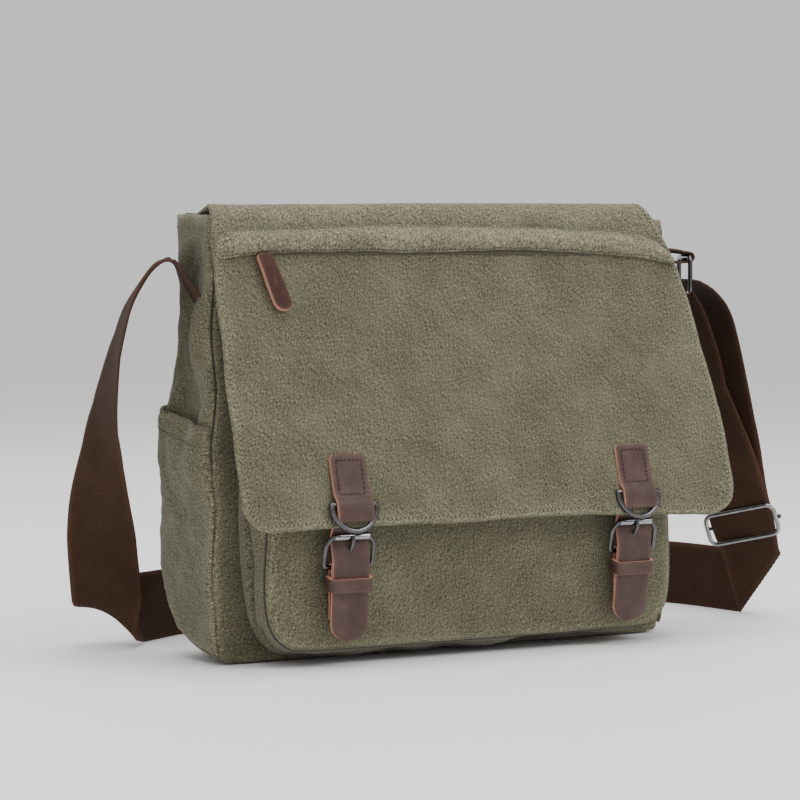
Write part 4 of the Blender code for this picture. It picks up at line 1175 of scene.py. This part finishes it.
def surface_line(flat, lift):
    """A flat line laid on the flap's outer side, and the flap's normals there."""
    step = 0.0005
    place = flap_surface(flat[:, 0], flat[:, 1])
    across = flap_surface(flat[:, 0] + step, flat[:, 1]) - flap_surface(flat[:, 0] - step, flat[:, 1])
    along = flap_surface(flat[:, 0], flat[:, 1] + step) - flap_surface(flat[:, 0], flat[:, 1] - step)
    normals = np.cross(along, across)
    normals /= np.linalg.norm(normals, axis=1, keepdims=True)
    return place + normals * lift, normals


def crease_rub(s):
    """How rubbed the cloth is near the flap's crease."""
    return 0.75 * np.exp(-((s - 0.066) / 0.022) ** 2)


def build_flap():
    columns = 120
    spread = np.linspace(0, 1, columns)[None, :]
    s = np.linspace(0, FLAP_JOIN, 20)[:, None]
    x = flap_left(s) * (1 - spread) + flap_right(s) * spread
    s = np.broadcast_to(s, x.shape)
    rear = shell("flap_top_cloth", flap_surface(x, s), CANVAS, np.stack([x, s], -1),
                 LINED_CANVAS, outside=1)
    add_wear_and_painted_light(rear, crease_rub(s))
    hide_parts("flap_top_panel", "flap_top_lining")
    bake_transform(rear)

    straight = np.linspace(FLAP_JOIN, FLAP_LENGTH - FLAP_CORNER, 74)
    corner = FLAP_LENGTH - FLAP_CORNER + FLAP_CORNER * np.sin(np.linspace(0, math.pi / 2, 12))[1:]
    s = np.concatenate([straight, corner])[:, None]
    turn = np.clip((s - (FLAP_LENGTH - FLAP_CORNER)) / FLAP_CORNER, 0, 1)
    pull = FLAP_CORNER * (1 - np.sqrt(1 - turn ** 2))
    x = (flap_left(s) + pull) * (1 - spread) + (flap_right(s) - pull) * spread
    near = np.clip((s - (FLAP_LENGTH - 0.05)) / 0.05, 0, 1)
    s = s + near * (flap_hem(x) - FLAP_LENGTH)
    front = shell("flap_front_cloth", flap_surface(x, s), CANVAS, np.stack([x, s], -1),
                  LINED_CANVAS, outside=1)
    add_wear_and_painted_light(front, crease_rub(s))
    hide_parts("flap_front_panel", "flap_front_lining")
    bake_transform(front)

    path, normals = surface_line(flap_cut(0.0032), CANVAS / 2 + 0.0001)
    row = sewn_row("flap_edge_stitches", path, normals)
    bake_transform(row)
    path, normals = surface_line(flap_cut(0.0), 0.0)
    roll = tube("flap_edge_fold", path, 0.0013, "canvas", sides=10)
    fill_wear(roll, 0.40)
    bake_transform(roll)


def s_of(z):
    """Flat coordinate of the flap at a height on its front."""
    return np.interp(z, FLAP_PROFILE[::-1, 1], distances(FLAP_PROFILE)[::-1])


HOOD_UPPER = smooth_line([(-0.1915, 0.2990), (-0.1820, 0.2994), (-0.1088, 0.3018), (-0.0277, 0.3028),
                          (0.0654, 0.3012),
                          (0.1270, 0.2994), (0.1600, 0.2976), (0.1765, 0.2905), (0.1880, 0.2812)])
HOOD_LOWER = smooth_line([(-0.1920, 0.2808), (-0.1526, 0.2850), (-0.0950, 0.2864), (-0.0301, 0.2854),
                          (0.0629, 0.2870),
                          (0.1476, 0.2826), (0.1895, 0.2775)])


def build_hood():
    """A folded strip sewn across the flap, full in its middle, which stands off over the zip."""
    columns, rows = 120, 18
    across = np.linspace(0, 1, columns)[None, :]
    share = np.linspace(0, 1, rows)[:, None]
    x = np.interp(across, [0, 1], [-0.1915, 0.1882])
    top = np.interp(x, HOOD_UPPER[:, 0], HOOD_UPPER[:, 1])
    low = np.interp(x, HOOD_LOWER[:, 0], HOOD_LOWER[:, 1])
    low = low + 0.0007 * crumple(x, x * 0, 0.060, 101.0)
    z = top + (low - top) * share
    s = s_of(z)
    ends = np.clip((0.1905 - np.abs(x)) / 0.020, 0, 1) ** 0.5
    belly = np.sin(math.pi * share ** 1.2) ** 0.8
    lift = 0.0018 + 0.0012 * share * ends + 0.0052 * belly * ends * (1 + 0.7 * crumple(x + z * 0, z, 0.035,
                                                                                       104.0))
    flat = np.stack(np.broadcast_arrays(x, s), -1)
    base, normals = surface_line(flat.reshape(-1, 2), 0.0)
    grid = (base + normals * np.broadcast_to(lift, flat.shape[:2]).reshape(-1, 1)).reshape(rows, columns, 3)
    piece = shell("hood_strip", grid, 0.0024, flat + np.array([0.13, 0.4]), ["canvas"] * 3, outside=1)
    # The belly is made paler through the wear attribute: painted light that the rounded belly catches from above
    add_wear_and_painted_light(piece, 1.15 * belly ** 0.6 * np.ones_like(flat[..., 0]))
    settle(piece, "flap_front", "canvas", "flap_hood")
    made = []
    for k, row in enumerate((1, rows - 2)):
        facing = grid_normals(grid)[row]
        made.append(sewn_row("hood" + str(k), grid[row] + facing * 0.0013, facing, "tone_thread"))
    settle(join("hood_stitches", made), "flap_front", "canvas")


ZIP_RISE = 0.0040


def build_zip():
    lift = 0.0020
    x = np.linspace(-0.168, 0.168, 85)[None, :]
    z = np.linspace(0.2795, 0.2910, 6)[:, None] + ZIP_RISE
    flat = np.stack(np.broadcast_arrays(x, s_of(z)), -1)
    base = surface_line(flat.reshape(-1, 2), lift)[0]
    tape = shell("zip_tape_cloth", base.reshape(6, 85, 3), 0.0007, flat, ["zip_cloth"] * 3)
    settle(tape, "flap_front", "zip_cloth", "zip_tape")
    count = 180
    verts = []
    faces = []
    for k in range(count):
        x = -0.166 + 0.332 * k / (count - 1)
        offset = 0.0005 if k % 2 else -0.0005
        flat = np.array([[x, s_of(0.2852 + ZIP_RISE + offset)]])
        place, normal = surface_line(flat, lift + 0.0008)
        place, normal = place[0], normal[0]
        across = np.array([1.0, 0.0, 0.0])
        down = np.cross(normal, across)
        first = len(verts)
        for depth, grow in ((-0.0005, 1.0), (0.0003, 1.0), (0.0006, 0.7)):
            for sx, sz in ((-1, -1), (1, -1), (1, 1), (-1, 1)):
                verts.append(place + across * (sx * 0.00062 * grow) + down * (sz * 0.0014 * grow) + normal * depth)
        for ring in range(2):
            for j in range(4):
                low = first + ring * 4
                faces.append([low + j, low + (j + 1) % 4, low + 4 + (j + 1) % 4, low + 4 + j])
        faces.append([first + j for j in (3, 2, 1, 0)])
        faces.append([first + 8 + j for j in range(4)])
    teeth = make_piece("zip_teeth_row", verts, faces, ["gunmetal"])
    settle(teeth, "flap_front", "gunmetal", "zip_teeth")


def outline_piece(name, outline, surface, thickness, materials, steps=7, bulge=0.15):
    """A thick piece cut to a closed flat outline (star-shaped about its middle) and laid on a surface."""
    outline = np.asarray(outline, float)
    centre = (outline.max(0) + outline.min(0)) / 2
    shares = np.concatenate([[0.0005], np.linspace(0.15, 1, steps) ** 0.8])
    flat = centre + (outline[:, None, :] - centre) * shares[None, :, None]
    grid = surface(flat[..., 0], flat[..., 1])
    return shell(name, grid, thickness, flat, materials, outside=1, wrap=True, bulge=bulge, wear_reach=0.0010)


def build_puller():
    """The slider's body and the leather puller with its raw cut edge."""
    x0, _, z0 = JOINTS["puller_swing"]["pos_m"]
    tilt = math.radians(15.5)
    outline = []
    length = 0.0395
    for t in np.linspace(0, math.pi, 12):
        outline.append((0.0058 * math.cos(t), -0.001 + 0.0022 * math.sin(t)))
    outline += [(-0.0061, -0.010), (-0.0066, -0.022), (-0.0067, -length + 0.006)]
    for t in np.linspace(math.pi, 2 * math.pi, 14):
        outline.append((0.0067 * math.cos(t), -length + 0.0064 + 0.0064 * math.sin(t)))
    outline += [(0.0067, -length + 0.006), (0.0066, -0.022), (0.0061, -0.010)]
    outline = dense(outline, closed=True, spacing=0.0012)[::-1]

    def surface(u, v):
        x = x0 - 0.0075 + u * math.cos(tilt) - v * math.sin(tilt)
        z = z0 + 0.0035 + u * math.sin(tilt) * 0.4 + v * math.cos(tilt)
        y = flap_face(z) - 0.0040 - 0.0007 * np.clip(-v / 0.012, 0, 1)
        return np.stack([x, y, z], -1)

    puller = outline_piece("puller_leather", outline, surface, 0.0036,
                           ["dark_leather", "raw_edge", "raw_edge"])
    settle(puller, "zip_pull", "leather", "zip_puller")
    inset = outline * np.array([0.74, 0.90]) + np.array([0.0, -0.0014])
    path = surface(inset[:, 0], inset[:, 1]) - np.array([0, 0.0015, 0])
    settle(stitches("puller_stitches", path, np.tile((0, -1, 0), (len(path), 1)), "dark_thread", 0.0032,
                    0.0023,
                    0.00028), "zip_pull", "leather")
    low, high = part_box("zip_slider")
    middle = (np.array(low) + np.array(high)) / 2 + np.array([0.0, ZIP_RISE * FLAP_SLOPE, ZIP_RISE + 0.0022])
    body = []
    for t in np.linspace(0, 2 * math.pi, 40, endpoint=False):
        u = 0.0056 * math.copysign(abs(math.cos(t)) ** 0.6, math.cos(t))
        v = 0.0026 * math.copysign(abs(math.sin(t)) ** 0.7, math.sin(t))
        body.append((u * (1 - 0.12 * v / 0.0026), v))
    plate = outline_piece("zip_slider_plate", np.array(body)[::-1],
                          lambda u, v: np.stack([middle[0] + u, middle[1] + v * FLAP_SLOPE, middle[2] + v],
                                                -1),
                          0.0012, ["gunmetal"] * 3, bulge=0.4)
    settle(plate, "zip_runner", "gunmetal", "zip_slider")


# ---------------------------------------------------------------- leather closures

def strip(name, profile, x, half_width, thickness, body, nodes, columns=13, spacing=0.0012, bend=0.0,
          sway=0.0):
    """A leather strip along a (y, z) profile whose width follows half_width(distance from its start)."""
    line = dense(smooth_line(profile, 10), spacing=spacing)
    travelled = distances(line)
    half = half_width(travelled, travelled[-1])
    spread = np.linspace(-1, 1, columns)
    middle = x + sway * (travelled / travelled[-1]) ** 2
    xs = middle[:, None] + half[:, None] * spread[None, :]
    crown = bend * (1 - spread[None, :] ** 2) * np.ones((len(line), 1))
    grid = np.stack([xs, line[:, 0:1] - crown, line[:, 1:2] * np.ones_like(xs)], -1)
    flat = np.stack([xs, travelled[:, None] * np.ones_like(xs)], -1)
    outside = 1 if line[-1, 1] < line[0, 1] else -1
    piece = shell(name, grid, thickness, flat, CUT_LEATHER, outside, bulge=0.12,
                  wear_reach=0.0010)
    settle(piece, body, "leather", *nodes)


def build_tab(side, x):
    """The sewn leather tab that holds the D-ring's bar."""
    heights = [(0.1465, 0.0), (0.1400, 0.0), (0.1300, 0.0), (0.1215, 0.0002), (0.1175, 0.0022),
               (0.1148, 0.0031),
               (0.1115, 0.0033), (0.1075, 0.0030), (0.1045, 0.0022), (0.1022, 0.0012)]
    rises = np.array(heights[::-1])
    profile = [(flap_face(z) - rise - LEATHER / 2, z) for z, rise in heights]

    def half(travelled, total):
        top = np.clip(travelled / 0.0022, 0, 1)
        return 0.0138 - 0.0022 * (1 - np.sqrt(1 - (1 - top) ** 2))

    strip("tab_leather_" + side, profile, x, half, LEATHER, "flap_front", ["tab_" + side])
    corners = [(-0.0098, 0.1434), (0.0098, 0.1434), (0.0098, 0.1205), (-0.0098, 0.1205), (-0.0098, 0.1434)]
    path = dense([(x + u, 0.0, z) for u, z in corners])
    lifted = np.interp(path[:, 2], rises[:, 0], rises[:, 1])
    path[:, 1] = [flap_face(z) - rise - LEATHER - 0.0002 for z, rise in zip(path[:, 2], lifted)]
    settle(stitches("tab_stitches_" + side, path, np.tile((0, -1, 0), (len(path), 1)), "dark_thread", 0.0031,
                    0.0026,
                    0.00062), "flap_front", "leather")


def build_d_ring(side, x):
    half = 0.0175
    points = [(x + half * math.cos(t), flap_face(D_RING_Z - half * math.sin(t)) - 0.0019,
               D_RING_Z - half * math.sin(t)) for t in np.linspace(0, math.pi, 60)]
    bar = [(x + half * u, flap_face(D_RING_Z) - 0.0019, D_RING_Z + 0.0006) for u in np.linspace(-0.9, 0.9,
                                                                                                30)]
    line = dense(points + bar, closed=True)
    ring = tube("d_ring_wire_" + side, line, 0.00195, "gunmetal", closed=True)
    settle(ring, "d_ring_" + side, "gunmetal", "d_ring_" + side)


def build_closure(side, x):
    body = "closure_" + side
    face = POCKET_FACE
    skin = LEATHER / 2
    profile = [(flap_face(0.1000) + 0.0062, 0.1050), (flap_face(0.1000) + 0.0058, 0.0985),
               (face - 0.0115 + skin, 0.0905), (face - 0.0140 + skin, 0.0780), (face - 0.0146 + skin, 0.0700),
               (face - 0.0132 + skin, 0.0600), (face - 0.0122 + skin, 0.0500), (face - 0.0112 + skin, 0.0350),
               (face - 0.0104 + skin, 0.0195)]

    def half(travelled, total):
        tip = np.clip((total - travelled) / 0.0120, 0, 1)
        return 0.0141 * np.maximum(1 - (1 - tip) ** 2.4, 0.02) ** 0.5

    strip("billet_leather_" + side, profile, x, half, LEATHER, body, ["billet_" + side], bend=0.0006,
          sway=-0.0022 if side == "right" else 0.0006)
    fold = [(BAR_Y + 0.0017, 0.0345), (BAR_Y + 0.0017, 0.0500), (BAR_Y + 0.0017, 0.0690),
            (BAR_Y + 0.0010, 0.0722),
            (BAR_Y, 0.0727), (BAR_Y - 0.0010, 0.0720), (BAR_Y - 0.0016, 0.0700), (face - 0.0090, 0.0560)]
    strip("chape_leather_" + side, [(y + 0.0007, z) for y, z in fold][::-1], x,
          lambda travelled, total: np.full(len(travelled), 0.0133), 0.0014, body, ["chape_" + side])
    build_buckle(side, x, body)
    keeper(side, x, body)
    snap(side, x, body)


def build_buckle(side, x, body):
    low_y, low_z = BAR_Y, BAR_Z
    high_y, high_z = POCKET_FACE - 0.0136, 0.0905
    half = 0.0188
    corner = 0.0044
    shoulder = high_z - 0.0048
    slope = (high_y - low_y) / (high_z - low_z)

    def place(u, z):
        return (x + u, low_y + (z - low_z) * slope, z)

    key = [place(-half, low_z - 0.0004), place(half, low_z - 0.0004), place(half, shoulder),
           place(half - corner, high_z + 0.0004), place(-half + corner, high_z + 0.0004),
           place(-half, shoulder)]
    line = round_corners(np.array(key), 0.0028)
    roller = np.clip((line[:, 2] - high_z + 0.0014) / 0.0012, 0, 1) * (np.abs(line[:, 0] - x) < half - corner)
    radii = 0.0016 + 0.0007 * roller
    frame_wire = tube("buckle_wire_" + side, line, radii, "gunmetal", closed=True, squash=0.85)
    settle(frame_wire, body, "gunmetal", "buckle_frame_" + side)
    bar = dense([place(u, high_z + 0.0004) for u in (corner - half + 0.0008, half - corner - 0.0008)])
    settle(tube("buckle_roller_" + side, bar, 0.0026, "polished", up=(0.0, 0.0, 1.0)), body, "gunmetal")
    face = POCKET_FACE
    ring = 0.0026
    prong = []
    for step in range(23):
        angle = math.radians(80 - 260 * step / 22)
        prong.append((x, low_y + ring * math.cos(angle), low_z + ring * math.sin(angle)))
    prong += [(x, face - 0.0108, 0.0755), (x, face - 0.0120, 0.0800), (x, face - 0.0150, 0.0845),
              (x, face - 0.0172, 0.0885), (x, face - 0.0174, 0.0922)]
    line = dense(smooth_line(prong, 4), spacing=0.0006)
    radii = np.interp(distances(line) / distances(line)[-1], [0, 0.5, 0.9, 1.0],
                      [0.0010, 0.0015, 0.0014, 0.0008])
    piece = tube("prong_wire_" + side, line, radii, "gunmetal", up=(1.0, 0.0, 0.0))
    settle(piece, "prong_" + side, "gunmetal", "buckle_prong_" + side)


def round_corners(points, radius, segments=6):
    """A closed polyline with its corners rounded."""
    result = []
    count = len(points)
    for k in range(count):
        before, here, after = points[k - 1], points[k], points[(k + 1) % count]
        a = here + (before - here) / np.linalg.norm(before - here) * radius
        b = here + (after - here) / np.linalg.norm(after - here) * radius
        for t in np.linspace(0, 1, segments):
            result.append((1 - t) ** 2 * a + 2 * t * (1 - t) * here + t ** 2 * b)
    return dense(result, closed=True)


def keeper(side, x, body):
    """A leather band round the billet, with its raw edges up and down."""
    low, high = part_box("keeper_" + side)
    centre_y = (low.y + high.y) / 2
    half_x = (high.x - low.x) / 2 - 0.0006
    half_y = (high.y - low.y) / 2 - 0.0006
    loop = rounded_rectangle(Vector((x, centre_y, 0)), Vector((1, 0, 0)), Vector((0, 1, 0)), half_x, half_y,
                             0.0028, 6)
    heights = np.linspace(low.z, high.z, 7)
    sag = 0.0024 * np.clip((centre_y - loop[:, 1]) / half_y, 0, 1)
    grid = np.stack([np.stack([loop[:, 0], loop[:, 1] - 0.0003 * math.sin(math.pi * k / 6), z - sag], -1)
                     for k, z in enumerate(heights)], 1)
    travelled = distances(np.vstack([loop, loop[:1]]))[:-1]
    flat = np.stack(np.broadcast_arrays(travelled[:, None], heights[None, :]), -1)
    piece = shell("keeper_leather_" + side, grid, 0.0027, flat, CUT_LEATHER,
                  outside=1, wrap=True, bulge=0.12, wear_reach=0.0010)
    settle(piece, body, "leather", "keeper_" + side)


def snap(side, x, body):
    """The two halves of the snap behind the billet's tip."""
    for name, node, owner, radius in (("snap_cap_", "snap_stud_", body, 0.0080),
                                      ("snap_seat_", "snap_socket_", "bag", 0.0090)):
        low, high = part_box(node + side)
        rings = [(0.3, high.y), (0.86, high.y), (1.0, high.y - 0.0004), (1.0, low.y + 0.0005), (0.88, low.y),
                 (0.55, low.y + 0.0002), (0.45, low.y), (0.10, low.y)]
        turns = np.linspace(0, 2 * math.pi, 40, endpoint=False)
        centre_z = (low.z + high.z) / 2
        verts = []
        for share, y in rings:
            for t in turns:
                verts.append((x + radius * share * math.cos(t), y, centre_z + radius * share * math.sin(t)))
        count = len(turns)
        faces = []
        for ring in range(len(rings) - 1):
            for k in range(count):
                faces.append([ring * count + k, ring * count + (k + 1) % count,
                              (ring + 1) * count + (k + 1) % count, (ring + 1) * count + k])
        faces.append(list(range(count - 1, -1, -1)))
        faces.append([(len(rings) - 1) * count + k for k in range(count)])
        settle(make_piece(name + side, verts, faces, ["gunmetal"]), owner, "gunmetal", node + side)


# ---------------------------------------------------------------- inside

def build_divider():
    """The padded laptop divider: a foam pad in cloth, sewn along its edges."""
    low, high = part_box("laptop_divider")
    margin = 0.0012
    columns, rows = 76, 52
    x, z = np.meshgrid(np.linspace(low.x + margin, high.x - margin, columns),
                       np.linspace(low.z + margin, high.z - margin, rows))
    count = rows * columns
    index = np.arange(count).reshape(rows, columns)
    verts = np.vstack([np.stack([x, x * 0 + y, z], -1).reshape(-1, 3) for y in (low.y + margin,
                                                                                high.y - margin)])
    quads = np.stack([index[:-1, :-1], index[:-1, 1:], index[1:, 1:], index[1:, :-1]], -1).reshape(-1, 4)
    faces = [list(q) for q in quads] + [list(q[::-1] + count) for q in quads]
    rim = np.concatenate([index[0], index[1:, -1], index[-1, -2::-1], index[-2:0:-1, 0]])
    for a, b in zip(rim, np.roll(rim, -1)):
        faces.append([b, a, a + count, b + count])
    pad = make_piece("divider_pad", verts, faces, ["padding"], None, verts[:, [0, 2]])
    swell_pad(pad, 0.0022, low, high)
    settle(pad, "bag", "padding", "laptop_divider")


def swell_pad(pad, cap, low, high):
    """Cloth blown up a little from the inside, so that the pad is puffed between its sewn edges."""
    start = np.array([v.co for v in pad.data.vertices])
    edge = np.minimum.reduce([start[:, 0] - low.x, high.x - start[:, 0], start[:, 2] - low.z,
                              high.z - start[:, 2]])
    group = pad.vertex_groups.new(name="sewn")
    for k, gap in enumerate(edge):
        group.add([k], 1.0 if gap < 0.004 else 0.0, "REPLACE")
    cloth = pad.modifiers.new("cloth", "CLOTH")
    cloth.settings.quality = 4
    cloth.settings.mass = 0.25
    cloth.settings.use_pressure = True
    cloth.settings.uniform_pressure_force = 1.5
    cloth.settings.effector_weights.gravity = 0.0
    cloth.settings.vertex_group_mass = "sewn"
    cloth.collision_settings.use_collision = False
    for step in range(1, 13):
        bpy.context.scene.frame_set(step)
    bake_mesh(pad)
    bpy.context.scene.frame_set(1)
    moved = np.array([v.co for v in pad.data.vertices]) - start
    reach = np.linalg.norm(moved, axis=1, keepdims=True)
    moved = moved * np.minimum(1.0, cap / np.maximum(reach, 1e-9))
    pad.data.vertices.foreach_set("co", (start + moved).astype(np.float32).ravel())


def bake_mesh(piece):
    """The piece's mesh with its modifiers applied."""
    graph = bpy.context.evaluated_depsgraph_get()
    mesh = bpy.data.meshes.new_from_object(piece.evaluated_get(graph), depsgraph=graph)
    piece.modifiers.clear()
    piece.data = mesh


def build_board():
    """The stiffening board on the bag's floor."""
    x = np.linspace(-0.140, 0.140, 30)[:, None]
    y = np.linspace(-0.0390, 0.0180, 12)[None, :]
    height = 0.0082 + 0.0050 * np.clip(y / 0.02, 0, 1) ** 2
    grid = np.stack(np.broadcast_arrays(x, y, height), -1)
    flat = np.stack(np.broadcast_arrays(x, y), -1)
    settle(shell("board_sheet", grid, 0.0016, flat, ["board"] * 3), "bag", "board", "base_board")


# ---------------------------------------------------------------- room

def build_room():
    mesh = bpy.data.meshes.new("floor")
    bm = bmesh.new()
    bmesh.ops.create_grid(bm, x_segments=8, y_segments=8, size=40.0)
    bm.to_mesh(mesh)
    bm.free()
    mesh.materials.append(floor_material())
    floor = bpy.data.objects.new("floor", mesh)
    bpy.context.scene.collection.objects.link(floor)
    world = bpy.data.worlds.new("room")
    bpy.context.scene.world = world
    world.use_nodes = True
    world.node_tree.nodes["Background"].inputs["Color"].default_value = (1.0, 1.0, 1.0, 1.0)
    world.node_tree.nodes["Background"].inputs["Strength"].default_value = 0.78
    for name, place, aim, size, power in (
            ("key", (1.3, -2.0, 1.9), (0.0, 0.0, 0.15), 1.0, 27.0),
            ("top", (-0.1, -0.3, 2.4), (0.0, 0.0, 0.15), 2.0, 48.0),
            ("fill", (-1.6, -1.9, 1.1), (0.0, 0.0, 0.15), 1.2, 1.2),
            ("rim", (0.4, 1.8, 1.9), (0.0, 0.0, 0.15), 1.6, 10.0)):
        light = bpy.data.lights.new(name, "AREA")
        light.shape = "SQUARE"
        light.size = size
        light.energy = power
        lamp = bpy.data.objects.new(name, light)
        lamp.location = place
        lamp.rotation_euler = (Vector(aim) - Vector(place)).to_track_quat("-Z", "Y").to_euler()
        bpy.context.scene.collection.objects.link(lamp)
    lens = bpy.data.cameras.new("camera")
    lens.lens = CAMERA_LENS
    lens.sensor_width = 36.0
    camera = bpy.data.objects.new("camera", lens)
    camera.location = CAMERA_PLACE
    camera.rotation_euler = CAMERA_TURN
    bpy.context.scene.collection.objects.link(camera)
    bpy.context.scene.camera = camera


build_room()
build_strap()
build_body()
build_front_pocket()
for pocket_side, pocket_sign in (("left", -1), ("right", 1)):
    build_side_pocket(pocket_side, pocket_sign)
build_flap()
build_hood()
build_zip()
build_puller()
for closure_side, closure_x in CLOSURES.items():
    build_tab(closure_side, closure_x)
    build_d_ring(closure_side, closure_x)
    build_closure(closure_side, closure_x)
build_divider()
build_board()
